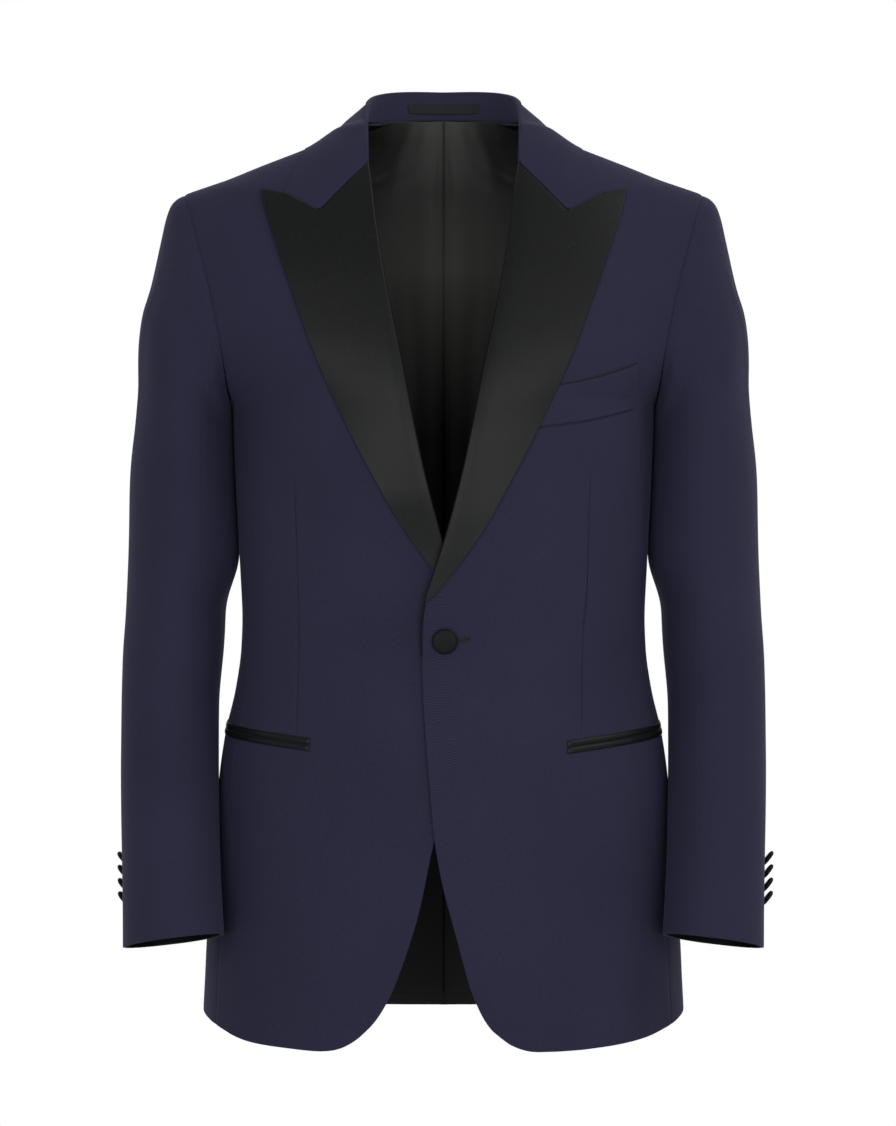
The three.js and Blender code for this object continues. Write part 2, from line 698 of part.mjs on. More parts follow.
function sleevePart(name, angles, turn, mirror) {
  const first = angles[0];
  const last = angles[angles.length - 1];
  const rows = sleeveLevels.map((w) => angles.map((angle) => {
    const t = (angle - first) / (last - first);
    const a = angle + turn(w) * (name.startsWith("top") ? t : 1 - t);
    return { p: sleeveAt(a, w), n: sleeveNormal(a, w) };
  }));
  const grid = drawIn(rows.map((row) => row.map((cell) => cell.p)), 0.25);
  const normals = rows.map((row) => row.map((cell) => cell.n));
  return sheet(name, PAINT.navy, grid, moved(grid, normals, -CLOTH), mirror);
}
for (const [side, word] of [[1, "left"], [-1, "right"]]) {
  sleevePart(`top_sleeve_${word}`, topAngles, hindTurn, side < 0);
  sleevePart(`under_sleeve_${word}`, underAngles, hindTurn, side < 0);
  const bands = [SLEEVE_LINING.top, 1.92, SLEEVE_LINING.low];
  const cells = bands.map((w) => shares(18).slice(0, 18).map((t) => {
    return { p: sleeveAt(-360 * t, w), n: sleeveNormal(-360 * t, w) };
  }));
  const grid = cells.map((row) => row.map((cell) => cell.p));
  const normals = cells.map((row) => row.map((cell) => cell.n));
  const outer = moved(grid, normals, -CLOTH - 1.6);
  const inner = moved(grid, normals, -CLOTH - 1.6 - LINING);
  sheet(`sleeve_lining_${word}`, PAINT.lining, outer, inner, side < 0, true);
}

// Lapels: folded along the roll line and lying on the fronts
const foldSteps = [90, 54, 18, -18, -54, -90];
function foldPoints(crest, up, out, radius, list) {
  const centre = crest.clone().addScaledVector(up, -radius);
  return list.map((degrees) => {
    const t = THREE.MathUtils.degToRad(degrees);
    const p = centre.clone().addScaledVector(up, radius * Math.cos(t));
    return p.addScaledVector(out, -radius * Math.sin(t));
  });
}
const lapelRows = 14;
function topLine(fractions) {
  const corners = [GORGE, NOTCH, COLLAR_POINT, PEAK].map(onFront);
  const legs = [[0, 0.5], [0.5, 0.82], [0.82, 1]];
  return fractions.map((t) => {
    const leg = t < 0.5 ? 0 : t < 0.82 ? 1 : 2;
    const [a, b] = legs[leg];
    const p = corners[leg].clone().lerp(corners[leg + 1], (t - a) / (b - a));
    return settle(p);
  });
}
function lapel(name, side) {
  const across = [0, 0.12, 0.27, 0.5, 0.66, 0.82, 1];
  const roll = along(ROLL_LINE.map(onFront), shares(lapelRows)).map((p) => faceAt(p.x, p.z, -1));
  const edge = along(LAPEL_EDGE.map(onFront), shares(lapelRows)).map((p) => faceAt(p.x, p.z, -1));
  const start = roll.map((p, i) => settle(p.clone().addScaledVector(inwardFrom(roll, i), ROLL)));
  const top = topLine(across);
  const foot = across.map((t) => settle(start[lapelRows].clone().lerp(edge[lapelRows], t)));
  top[0] = start[0].clone();
  const flat = patch(top, foot, start, edge, across).map((row) => row.map(settle));
  const leaf = flat.map((row) => row.map((p) => p.clone()));
  for (let i = 0; i < across.length; i += 1) {
    leaf[0][i].lerp(leaf[1][i], 0.01);
  }
  const face = leaf.map((row, j) => {
    const m = inwardFrom(roll, j);
    const n = outward(roll[j]);
    const lift = (p) => side * lapAt(p.z) * lapShare(p.x);
    const crest = roll[j].clone().addScaledVector(n, lift(roll[j]) - 1);
    const fold = foldPoints(crest, m.clone().negate(), n, ROLL, foldSteps);
    const lying = row.slice(1).map((p) => {
      const q = p.clone().addScaledVector(outward(p), lift(p) + LAPEL_REST + SATIN);
      return clearOf(side > 0 ? overFront : underFront, q, LAPEL_REST + SATIN);
    });
    const tuck = fold[0].clone().addScaledVector(m, 0.5);
    return [tuck, ...fold, ...lying];
  });
  for (const p of face[0]) p.z -= 0.2;
  const grid = face;
  const normals = facing(grid);
  const inner = moved(grid, normals, -SATIN);
  return sheet(name, PAINT.satin, grid, inner, side < 0);
}
lapel("lapel_left", 1);
lapel("lapel_right", -1);

// Collar: a stand inside the neck, a fold, and a leaf that lies on the shoulders
const collarSteps = 11;
const leafShares = [0.14, 0.32, 0.55, 0.78, 1];
function pushOut(p, by) {
  const q = p.clone();
  for (let i = 0; i < 4; i += 1) {
    const g = slopeAt(q);
    const gap = level(q) / g.length();
    if (gap < by) q.addScaledVector(g.normalize(), Math.min(by - gap, 8));
  }
  return q;
}
function collarHalf() {
  const gorge = onFront(GORGE);
  const startUp = inwardFrom(rollDense, 0).negate();
  const startOut = outward(gorge);
  const crestStart = gorge.clone().addScaledVector(startOut, -1);
  const crestRows = COLLAR_FOLD.slice().reverse().map((row) => vec(row.x, row.y, row.z));
  const crest = along([crestStart, ...crestRows], shares(collarSteps));
  const edgeRows = COLLAR_EDGE.slice().reverse().map((row) => faceAt(row.x, row.z, row.side));
  const edge = along([onFront(COLLAR_POINT), ...edgeRows], shares(collarSteps)).map(settle);
  const neckRows = NECKLINE.slice().reverse().map((row) => faceAt(row.x, row.z, 1));
  const neckStart = settle(gorge.clone().addScaledVector(startUp, -ROLL - 0.5));
  const neckLine = [neckStart, ...NECK_FRONT.map(onFront).reverse(), neckPoint, ...neckRows];
  const foot = along(neckLine, shares(collarSteps));
  return crest.map((f, k) => {
    const v = k / collarSteps;
    const ahead = crest[Math.min(k + 1, collarSteps)].clone();
    const tangent = ahead.sub(crest[Math.max(k - 1, 0)]).normalize();
    if (k === collarSteps) tangent.set(-1, 0, 0);
    const bend = (t) => {
      const straight = gorge.clone().lerp(onFront(COLLAR_POINT), t);
      return topLine([0.82 * t])[0].sub(straight).multiplyScalar((1 - v) ** 3);
    };
    const lie = (t) => {
      const q = f.clone().lerp(edge[k], t).add(bend(t));
      q.addScaledVector(outward(q), LEAF_BELLY * Math.sin(Math.PI * t) * ease(v / 0.3));
      let p = pushOut(q, LEAF_REST + COLLAR);
      for (const panel of [overFront, underFront]) {
        if (p.y < -8) p = clearOf(panel, p, LEAF_REST + COLLAR);
      }
      return p;
    };
    const axis = vec(-foot[k].x, -foot[k].y, 0).normalize();
    const stand = foot[k].clone().addScaledVector(axis, 1).add(vec(0, 0, 0.5));
    const leafWay = lie(0.3).sub(f).normalize();
    const standWay = stand.clone().sub(f).normalize();
    const up = leafWay.clone().add(standWay).negate();
    up.addScaledVector(tangent, -up.dot(tangent)).normalize();
    const out = leafWay.clone().addScaledVector(up, -leafWay.dot(up));
    out.addScaledVector(tangent, -out.dot(tangent)).normalize();
    const near = ease(v / 0.2);
    const upHere = startUp.clone().lerp(up, near).normalize();
    const outHere = startOut.clone().lerp(out, near);
    outHere.addScaledVector(upHere, -outHere.dot(upHere)).normalize();
    const fold = foldPoints(f, upHere, outHere, ROLL, foldSteps);
    const low = fold[0].clone().addScaledVector(upHere, -0.5).lerp(stand, ease(v / 0.25));
    const path = [low, low.clone().lerp(fold[0], 0.5), ...fold];
    return [...path, ...leafShares.map((t) => lie(t))];
  });
}
const halfCollar = collarHalf();
const otherHalf = halfCollar.slice(0, -1).map((row) => row.map((p) => vec(-p.x, p.y, p.z)));
for (const p of halfCollar[collarSteps]) p.x = 0;
const collarGrid = [...otherHalf, ...halfCollar.slice().reverse()];
const ends = [0, collarGrid.length - 1];
for (const end of ends) {
  const next = end === 0 ? 1 : end - 1;
  collarGrid[end].forEach((p, i) => {
    const way = collarGrid[next][i].clone().sub(p).normalize();
    p.addScaledVector(way, SEAM * 2);
  });
}
sheet("collar", PAINT.navy, collarGrid, moved(collarGrid, facing(collarGrid), -COLLAR));

// Plain hanger tab inside the stand
const tabSteps = [-1.4, -0.7, 0, 0.7, 1.4];
function standAt(step, share) {
  const at = collarSteps + step;
  const k = Math.floor(at);
  const a = collarGrid[k];
  const b = collarGrid[Math.min(k + 1, collarGrid.length - 1)];
  const low = a[0].clone().lerp(b[0], at - k);
  const high = a[2].clone().lerp(b[2], at - k);
  return low.lerp(high, share);
}
const tabGrid = [0.62, 0.25].map((share) => tabSteps.map((step) => standAt(step, share)));
const tabFront = tabGrid.map((row) => row.map((p) => p.clone().add(vec(0, -1.5, 0))));
const tabBack = tabGrid.map((row) => row.map((p) => p.clone().add(vec(0, -0.45, 0))));
sheet("hanger_loop", PAINT.lining, tabFront, tabBack);

// Jetted pockets and the breast welt, lying on the panels
function strip(name, paint, top, low, thick, side) {
  const grid = [top, low];
  const normals = grid.map((row) => row.map(outward));
  return sheet(name, paint, moved(grid, normals, REST + thick), moved(grid, normals, REST), side < 0);
}
for (const pocket of POCKETS) {
  const points = [onFront(pocket.front), onFront(pocket.back), flankAt(pocket.end.y, pocket.end.z)];
  points.splice(1, 0, faceAt(mix(pocket.front.x, pocket.back.x, 0.55), mix(pocket.front.z, pocket.back.z, 0.5)));
  const middle = along(points, shares(9)).map(settle);
  const shift = (dz) => middle.map((p) => settle(vec(p.x, p.y, p.z + dz)));
  strip(`jet_upper_${pocket.name}`, PAINT.satin, shift(JET_TALL + 0.2), shift(0.2), 1, pocket.side);
  strip(`jet_lower_${pocket.name}`, PAINT.satin, shift(-0.2), shift(-JET_TALL - 0.2), 1, pocket.side);
}
const weltEnds = [WELT_TOP, WELT_LOW].map((rows) => along(rows.map(onFront), shares(7)));
const weltGrid = shares(3).map((t) => weltEnds[0].map((p, i) => {
  return clearOf(overFront, settle(p.clone().lerp(weltEnds[1][i], t)), 0.9);
}));
const weltNormals = weltGrid.map((row) => row.map(outward));
const weltOuter = moved(weltGrid, weltNormals, WELT_REST + 1.2);
sheet("breast_welt", PAINT.navy, weltOuter, moved(weltGrid, weltNormals, WELT_REST));

// Buttons: discs turned from a short outline
function disc(name, wide, thick, origin, axis, across, paint) {
  const r = wide / 2;
  const outline = [[r - 1.6, 0], [r, thick * 0.3], [r, thick * 0.65], [r - 1.8, thick]];
  const side = axis.clone().cross(across).normalize();
  const segments = 14;
  const place = [];
  const put = (a, radius, high) => {
    const p = origin.clone().addScaledVector(axis, high);
    p.addScaledVector(across, radius * Math.cos(a)).addScaledVector(side, radius * Math.sin(a));
    place.push(p.x, p.y, p.z);
  };
  for (const [radius, high] of outline) {
    for (let i = 0; i < segments; i += 1) put((2 * Math.PI * i) / segments, radius, high);
  }
  put(0, 0, 0);
  put(0, 0, thick);
  const faces = [];
  const low = outline.length * segments;
  for (let i = 0; i < segments; i += 1) {
    const n = (i + 1) % segments;
    for (let k = 0; k < outline.length - 1; k += 1) {
      const a = k * segments + i;
      const b = k * segments + n;
      faces.push(a, b, b + segments, a, b + segments, a + segments);
    }
    const top = (outline.length - 1) * segments;
    faces.push(low, n, i, low + 1, top + i, top + n);
  }
  const geometry = new THREE.BufferGeometry();
  geometry.setAttribute("position", new THREE.Float32BufferAttribute(place, 3));
  geometry.setIndex(faces);
  geometry.computeVertexNormals();
  const look = { color: new THREE.Color(paint.color), roughness: paint.roughness, metalness: 0 };
  const mesh = new THREE.Mesh(geometry, new THREE.MeshStandardMaterial(look));
  mesh.name = name;
  jacket.add(mesh);
}
const buttonSeat = faceAt(BUTTON_AT.x, BUTTON_AT.z);
const buttonAxis = outward(buttonSeat);
const reachOut = (BUTTON_WIDE - 3.2) / 2;
const underButton = [[0, 0], [0, reachOut], [0, -reachOut], [reachOut, 0], [-reachOut, 0]];
const highest = underButton.map(([dx, dz]) => {
  const y = facetY(overFront, BUTTON_AT.x + dx, BUTTON_AT.z + dz);
  return (buttonSeat.y - y) * Math.abs(buttonAxis.y) - dz * buttonAxis.z;
});
buttonSeat.addScaledVector(buttonAxis, Math.max(...highest) + REST - 0.1);
disc("button_front", BUTTON_WIDE, BUTTON_THICK, buttonSeat, buttonAxis, vec(1, 0, 0), PAINT.satin);
for (const [side, word] of [[1, "left"], [-1, "right"]]) {
  const turn = side > 0 ? CUFF_BUTTON_ANGLE_LEFT : CUFF_BUTTON_ANGLE_RIGHT;
  CUFF_BUTTON_LEVELS.forEach((z, i) => {
    const w = 1 + (z - SLEEVE_TOP) / (SLEEVE_END - SLEEVE_TOP);
    const seat = sleeveAt(turn, w);
    const n = sleeveNormal(turn, w);
    const down = sleeveAt(turn, w + 0.01).sub(seat).normalize();
    const lean = THREE.MathUtils.degToRad(CUFF_BUTTON_TILT);
    const axis = n.clone().multiplyScalar(Math.cos(lean)).addScaledVector(down, Math.sin(lean)).normalize();
    const across = axis.clone().cross(down).normalize();
    const stand = (CUFF_BUTTON_WIDE / 2 - 1.6) * Math.sin(lean) + 0.2;
    seat.addScaledVector(n, stand);
    for (const v of [seat, axis, across]) v.x *= side;
    const name = `cuff_button_${word}_${i + 1}`;
    disc(name, CUFF_BUTTON_WIDE, CUFF_BUTTON_THICK, seat, axis, across, PAINT.satin);
  });
}

export default jacket;
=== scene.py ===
# %% [markdown]
# # A dinner jacket, filled out as it is worn
#
# The jacket is a hollow shell of midnight blue wool and mohair with black satin peak lapels. Each cut
# panel of cloth is its own piece here, as it is on the cutting table: fronts, side panels, backs, two
# halves a sleeve, collar, lapels, linings and pockets. Every panel starts as a flat grid made by
# `bmesh.ops.create_grid`. Its points are then moved on to the body form, which is worked out from
# sizes. Sculpting by hand could give the same shape, but a form made of numbers keeps the two sides
# alike and the seams together.

import math

import bmesh
import bpy
import numpy as np
from mathutils import Matrix, Vector


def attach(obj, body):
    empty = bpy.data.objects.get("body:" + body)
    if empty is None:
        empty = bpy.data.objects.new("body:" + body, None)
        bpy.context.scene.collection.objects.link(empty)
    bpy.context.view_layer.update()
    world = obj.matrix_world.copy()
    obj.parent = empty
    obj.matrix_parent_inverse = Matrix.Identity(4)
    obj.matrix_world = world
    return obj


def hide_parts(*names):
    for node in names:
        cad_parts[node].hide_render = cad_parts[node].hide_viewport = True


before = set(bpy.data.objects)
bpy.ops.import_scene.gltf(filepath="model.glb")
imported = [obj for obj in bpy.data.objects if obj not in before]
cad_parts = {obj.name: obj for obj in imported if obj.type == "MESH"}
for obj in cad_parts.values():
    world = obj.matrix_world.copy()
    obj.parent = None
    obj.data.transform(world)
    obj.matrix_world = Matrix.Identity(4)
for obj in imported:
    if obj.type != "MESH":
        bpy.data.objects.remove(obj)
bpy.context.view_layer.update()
MM = 0.001
print("solids in the frame:", len(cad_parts))

# %% [markdown]
# ## Sizes
#
# All sizes are millimetres, with the wearer's left at +X and the front towards -Y. A table has a
# named column for each measure and a row for each level, so that a tailor could read it.
#
# The first values are wall thicknesses. `LAPEL_REST` and `LEAF_REST` say how far the lapel and the
# collar leaf stand off the cloth below them. A fold is `ROLL` deep to each side and is pressed to the
# share `FLAT` of a full half round.

# %% Named sizes
CLOTH = 2.0
SATIN = 1.6
COLLAR = 1.8
WELT = 1.4
RIBBON = 0.7
LINING = 0.6
LAPEL_REST = 0.9
LEAF_REST = 0.9
LEAF_BELLY = 4.0
ROUND = 2.2
ROLL = 2.3
FLAT = 0.72
SEAM_DIP = 0.75
SEAM_REACH = 3.2
SIDES = (("left", 1), ("right", -1))


def table(columns, *rows):
    return dict(zip(columns.split(), np.array(rows, float).T))


FORM = table(
    "z half front back",
    (20, 58, 14, 80), (14, 62.5, 20, 82), (10, 65.5, 26, 83), (6, 71, 32, 84),
    (0, 86, 40, 85), (-10, 103.5, 47.5, 87), (-31, 155.5, 60, 91), (-42, 182.5, 66.5, 93.5),
    (-54, 216, 73, 96),
    (-70, 234, 81, 100), (-90, 242, 90, 105), (-120, 243, 102, 112), (-150, 238, 111, 118),
    (-180, 224, 119, 122), (-205, 200, 124.5, 124), (-220, 184, 127, 124.7), (-228, 176, 128, 125),
    (-260, 174, 130.5, 123), (-300, 172, 130, 116), (-350, 169.5, 124, 105), (-400, 167.5, 118, 98),
    (-430, 168.5, 116.5, 97.5), (-466, 173.5, 117, 101), (-500, 181.5, 119.5, 107),
    (-540, 187, 123, 114), (-600, 191, 127, 121), (-640, 194.5, 129, 124),
    (-675, 197.2, 130.5, 126), (-700, 198.4, 131, 127), (-730, 200, 132, 128),
    (-760, 201, 132.5, 129),
)
ARMHOLE = table(
    "z out",
    (-54, 216), (-70, 209.5), (-90, 204), (-120, 195.5),
    (-150, 188.5), (-180, 182.5), (-205, 179), (-228, 176),
)
ARMHOLE_MIDDLE = -141
ARMHOLE_REACH = 87
FRONT_NOTCH = 138
BACK_NOTCH = 225
print("levels of the body form:", len(FORM["z"]))

# %% [markdown]
# ## Reading a table as a smooth line
#
# `track` turns two columns of a table into a smooth function that never swings past its rows.
# `smooth_line` runs a curve through points in space and is read by the share of its length, so that
# two panels that meet at a seam can walk along the same line. `smooth_pair` runs one curve through two
# rows of points and hands back its two halves, so that an edge turns into a hem without a corner.

# %% Smooth functions and lines
LINE_STEPS = 60
PAIR_STEPS = 4000


def track(rows, key, value):
    order = np.argsort(rows[key])
    k, v = rows[key][order], rows[value][order]
    slope = np.diff(v) / np.diff(k)
    tangent = np.concatenate([slope[:1], np.zeros(len(k) - 2), slope[-1:]])
    before, after = slope[:-1], slope[1:]
    same = before * after > 0
    both = np.where(same, before + after, 1)
    tangent[1:-1] = np.where(same, 2 * before * after / both, 0)

    def read(at):
        at = np.asarray(at, float)
        i = np.clip(np.searchsorted(k, at) - 1, 0, len(k) - 2)
        h = k[i + 1] - k[i]
        t = np.clip((at - k[i]) / h, 0, 1)
        value_at = (2 * t**3 - 3 * t**2 + 1) * v[i] + (3 * t**2 - 2 * t**3) * v[i + 1]
        value_at += h * ((t**3 - 2 * t**2 + t) * tangent[i] + (t**3 - t**2) * tangent[i + 1])
        value_at += np.minimum(at - k[0], 0) * tangent[0]
        return value_at + np.maximum(at - k[-1], 0) * tangent[-1]

    return read


def smooth_line(points):
    points = np.array(points, float)
    ends = [2 * points[0] - points[1], *points, 2 * points[-1] - points[-2]]
    p = np.array(ends)
    dense = []
    t = np.linspace(0, 1, LINE_STEPS, endpoint=False)[:, None]
    for a, b, c, d in zip(p[:-3], p[1:-2], p[2:-1], p[3:]):
        near, mid, far = (np.linalg.norm(e) ** 0.5 for e in (b - a, c - b, d - c))
        leave = ((b - a) / near - (c - a) / (near + mid) + (c - b) / mid) * mid
        arrive = ((c - b) / mid - (d - b) / (mid + far) + (d - c) / far) * mid
        bend = 2 * b - 2 * c + leave + arrive
        turn = -3 * b + 3 * c - 2 * leave - arrive
        dense.append(b + leave * t + turn * t**2 + bend * t**3)
    dense = np.vstack([*dense, points[-1:]])
    walked = np.concatenate([[0], np.cumsum(np.linalg.norm(np.diff(dense, axis=0), axis=1))])
    walked /= walked[-1]
    return lambda shares: np.stack([np.interp(shares, walked, c) for c in dense.T], -1)


def smooth_pair(first, second):
    line = smooth_line([*first, *second[1:]])
    dense = line(np.linspace(0, 1, PAIR_STEPS + 1))
    cut = np.argmin(np.linalg.norm(dense - first[-1], axis=1)) / PAIR_STEPS
    return (lambda s: line(s * cut)), (lambda s: line(cut + s * (1 - cut)))


def point(x, y, z):
    return np.stack(np.broadcast_arrays(x, y, z), -1).astype(float)


def ease(t):
    t = np.clip(t, 0, 1)
    return t * t * (3 - 2 * t)


def unit(v):
    return v / np.maximum(np.linalg.norm(v, axis=-1, keepdims=True), 1e-9)


half_at = track(FORM, "z", "half")
front_at = track(FORM, "z", "front")
back_at = track(FORM, "z", "back")
armhole_out = track(ARMHOLE, "z", "out")
print("half width at the waist:", round(float(half_at(-400)), 1), "mm")

# %% [markdown]
# ## The body form
#
# A chest is neither an ellipse nor a box, so each level is an oval with slightly fuller corners.
# `settle` moves points to the nearest place on the form, and `outward` is the direction square to it.

# %% The form's surface


def depth_at(y, z):
    return np.where(y < 0, front_at(z), back_at(z))


def level(p):
    x, y, z = np.moveaxis(p, -1, 0)
    return np.abs(x / half_at(z)) ** ROUND + np.abs(y / depth_at(y, z)) ** ROUND - 1


def slope_at(p):
    d = 0.05 * np.eye(3)
    return np.stack([(level(p + s) - level(p - s)) / 0.1 for s in d], -1)


def settle(p):
    p = np.array(p, float)
    for _ in range(10):
        g = slope_at(p)
        size = np.maximum(np.linalg.norm(g, axis=-1), 1e-6)
        step = np.clip(level(p) / size, -15, 15)
        p = p - g / size[..., None] * step[..., None]
    return p


def outward(p):
    return unit(slope_at(p))


def face_at(x, z, side=-1):
    x, z = np.asarray(x, float), np.asarray(z, float)
    deep = np.where(np.asarray(side) < 0, front_at(z), back_at(z))
    share = np.clip(1 - np.abs(x / half_at(z)) ** ROUND, 0, 1)
    return point(x, side * deep * share ** (1 / ROUND), z)


def flank_at(y, z):
    y, z = np.asarray(y, float), np.asarray(z, float)
    share = np.clip(1 - np.abs(y / depth_at(y, z)) ** ROUND, 0, 1)
    return point(half_at(z) * share ** (1 / ROUND), y, z)


def armhole(angle):
    t = np.radians(angle)
    z = ARMHOLE_MIDDLE + ARMHOLE_REACH * np.cos(t)
    return face_at(armhole_out(z), z, np.where(np.sin(t) >= 0, -1, 1))


def rows_of(rows, *columns):
    return [np.array(r) for r in zip(*(rows[c] for c in columns))]


SHOULDER_POINT = armhole(0.0)
NECK_POINT = settle(point(67, 10, 8))
print("shoulder point:", SHOULDER_POINT.round(1), "neck point:", NECK_POINT.round(1))

# %% [markdown]
# ## Seams, hems and edges of the body panels
#
# These lines come from the cut: the side seams by depth at each level, the front edges with their
# round cut-away corners, the hems and the neckline. The wearer's left front laps over the right.

# %% Lines of the cut
FRONT_SEAM = table(
    "z y", (-260, -56), (-330, -50), (-407, -48), (-480, -50), (-560, -52), (-650, -53), (-738.5, -54)
)
BACK_SEAM = table(
    "z y", (-260, 62), (-330, 60), (-407, 56), (-480, 64), (-560, 73), (-650, 79), (-737, 84)
)
SIDE_HEM = table("y z", (-54, -738.5), (-30, -733.5), (0, -730), (40, -732), (84, -737))
BACK_HEM = table("x z", (130, -739), (90, -740.5), (45, -742), (0, -742.5))
NECKLINE = table("x z", (0, 17), (26, 16), (45, 13.5), (58, 11), (66, 8.8))
NECK_FRONT = table("x z", (69, 3.5), (70, -6), (69, -18))
ROLL_LINE = table(
    "x z",
    (61, -32), (58.5, -48), (55, -77), (49.5, -113), (42, -155), (32.5, -200),
    (23.5, -246), (13.5, -292), (1.5, -337), (-9, -370), (-15.6, -390),
)
LAPEL_EDGE = table(
    "x z",
    (149.5, -54.4), (145, -74), (133, -111), (119, -151), (104, -191), (83, -238),
    (58, -287), (31.3, -334), (7.7, -367), (-8, -386.5),
)
GORGE, NOTCH, COLLAR_POINT, PEAK = (61, -32), (101, -74), (130.5, -58), (149.5, -54.4)
EDGE_OVER = table(
    "x z",
    (-15.9, -398), (-16.9, -421.7), (-16.9, -449.6), (-14.9, -491), (-11.2, -538),
    (-7.1, -583), (-0.2, -621), (9.6, -657), (24.8, -710), (37.2, -732.5),
)
EDGE_UNDER = table(
    "x z",
    (-15.9, -398), (-16.9, -421), (-16, -450), (-13, -491), (-5, -538), (8.2, -587),
    (12.7, -608), (19.7, -641), (30.8, -677), (44.7, -711.8), (56, -729),
)
HEM_OVER = table(
    "x z", (37.2, -732.5), (51.3, -745), (67.8, -751.8), (84.7, -752.8), (121.3, -751.6), (161.8, -746.6)
)
HEM_UNDER = table(
    "x z", (56, -729), (69.8, -742.6), (83.9, -750.4), (97.8, -752.8), (124, -751.8), (162, -748)
)
LAP = table(
    "z by",
    (-250, 0), (-300, 1), (-330, 3.1), (-355, 4.1), (-380, 4), (-400, 3.2),
    (-440, 2.1), (-590, 1.9), (-640, 0.9), (-680, 0),
)
LAP_FULL = 22
LAP_NONE = 72
lap_by = track(LAP, "z", "by")


def lift_of(p, side):
    over = 1 - ease((np.abs(p[..., 0]) - LAP_FULL) / (LAP_NONE - LAP_FULL))
    return side * lap_by(p[..., 2]) * over


def on_front(rows):
    return list(face_at(rows["x"], rows["z"]))


def settled(points):
    line = smooth_line(points)
    return lambda shares: settle(line(shares))


def seam_down(rows, notch):
    return settled([armhole(notch), *flank_at(rows["y"], rows["z"])])


front_seam = seam_down(FRONT_SEAM, FRONT_NOTCH)
back_seam = seam_down(BACK_SEAM, BACK_NOTCH)
share_out = np.array([0, 0.33, 0.66, 1])
shoulder_way = NECK_POINT + (SHOULDER_POINT - NECK_POINT) * share_out[:, None]
shoulder_way[:, 1] = NECK_POINT[1] + (SHOULDER_POINT[1] - NECK_POINT[1]) * ease(share_out)
shoulder_way[:, 2] += 1
shoulder_way = settle(shoulder_way)
shoulder_way[0], shoulder_way[3] = NECK_POINT, SHOULDER_POINT
shoulder_seam = settled(shoulder_way)
print("shoulder seam ends at", shoulder_seam(np.array([0, 1.0])).round(1).tolist())

# %% [markdown]
# ## Spacing the threads of a panel
#
# A pressed seam shows as a fine valley, about 3 mm wide. The grid of a panel therefore has closer
# rows near each edge, and `sink` presses the cloth down there. Modelling the seam allowances folded
# under would add layers that nobody sees. `overlap` lets two panels run about half a millimetre into
# each other at the bottom of the valley, so that no light comes through the seam.

# %% Patches, spacing and seams
CLOSE = np.array([0.7, 1.7, 3.2, 5.5])


def spaced(count, length, start=True, end=True):
    shares = [np.linspace(0, 1, count + 1)]
    if start:
        shares.append(CLOSE / length)
    if end:
        shares.append(1 - CLOSE / length)
    at = np.unique(np.concatenate(shares).round(6))
    keep = np.concatenate([[True], np.diff(at) > 0.35 / length])
    at = at[keep]
    at[-1] = 1
    return at


def joined(v, *runs):
    out = np.zeros((len(v), 3))
    start = 0
    for count, line in runs:
        here = (v >= start) & (v <= start + count)
        out[here] = line((v[here] - start) / count)
        start += count
    return out


def patch(top, bottom, left, right, u, v):
    u, v = u[None, :, None], v[:, None, None]
    p = top[None] * (1 - v) + bottom[None] * v + left[:, None] * (1 - u) + right[:, None] * u
    p -= (1 - u) * (1 - v) * top[0] + u * (1 - v) * top[-1]
    return p - (1 - u) * v * bottom[0] - u * v * bottom[-1]


def walked(grid, axis):
    step = np.linalg.norm(np.diff(grid, axis=axis), axis=-1)
    start = np.zeros_like(np.take(step, [0], axis))
    return np.concatenate([start, np.cumsum(step, axis)], axis)


def sink(grid, edges, dip=SEAM_DIP, reach=SEAM_REACH):
    across, down = walked(grid, 1), walked(grid, 0)
    away = {
        "left": across,
        "right": across[:, -1:] - across,
        "top": down,
        "bottom": down[-1:] - down,
    }
    drop = np.zeros(grid.shape[:2])
    for edge in edges.split():
        drop = np.maximum(drop, 1 - np.clip(away[edge] / reach, 0, 1))
    return -dip * drop**1.6


def overlap(grid, edges, by=0.45):
    grid = grid.copy()
    if "left" in edges:
        grid[:, 0] += unit(grid[:, 0] - grid[:, 1]) * by
    if "right" in edges:
        grid[:, -1] += unit(grid[:, -1] - grid[:, -2]) * by
    if "top" in edges:
        grid[0] += unit(grid[0] - grid[1]) * by
    return grid


def facing(grid):
    du = np.gradient(grid, axis=1)
    dv = np.gradient(grid, axis=0)
    return unit(np.cross(dv, du))


print("closest rows to a seam:", CLOSE.tolist(), "mm")

# %% [markdown]
# ## Soft folds
#
# Worn cloth is never quite smooth. Each fold here is a short line on the panel with its own width and
# height, so that no two are alike. `swell` adds them up as soft ridges and troughs.

# %% Folds listed one by one


def swell(p, folds, first, second):
    a, b = p[..., first], p[..., second]
    total = np.zeros(a.shape)
    for a0, b0, a1, b1, wide, high in folds:
        run = np.array([a1 - a0, b1 - b0], float)
        length = np.hypot(*run)
        t = ((a - a0) * run[0] + (b - b0) * run[1]) / length**2
        off = ((a - a0) * run[1] - (b - b0) * run[0]) / length
        along_it = np.exp(-((np.clip(np.abs(t - 0.5) - 0.25, 0, None) / 0.28) ** 2))
        total += high * along_it * np.exp(-((off / wide) ** 2))
    return total


# %% [markdown]
# ## Laying one panel of cloth
#
# `place_grid` makes a flat grid and moves its points to their places. `lay_cloth` is the only place
# that makes cloth: it also writes how far along the warp and the weft each point lies as a UV map in
# metres, and gives the wall its thickness with Solidify. One level of Subdivision rounds the turned
# edges. The faces look outwards, so the thickness always goes towards the lining. A piece of the
# wearer's right side has its columns turned round and X changed to minus X.

# %% Grids and finished pieces
SAME_PLACE = 1e-6


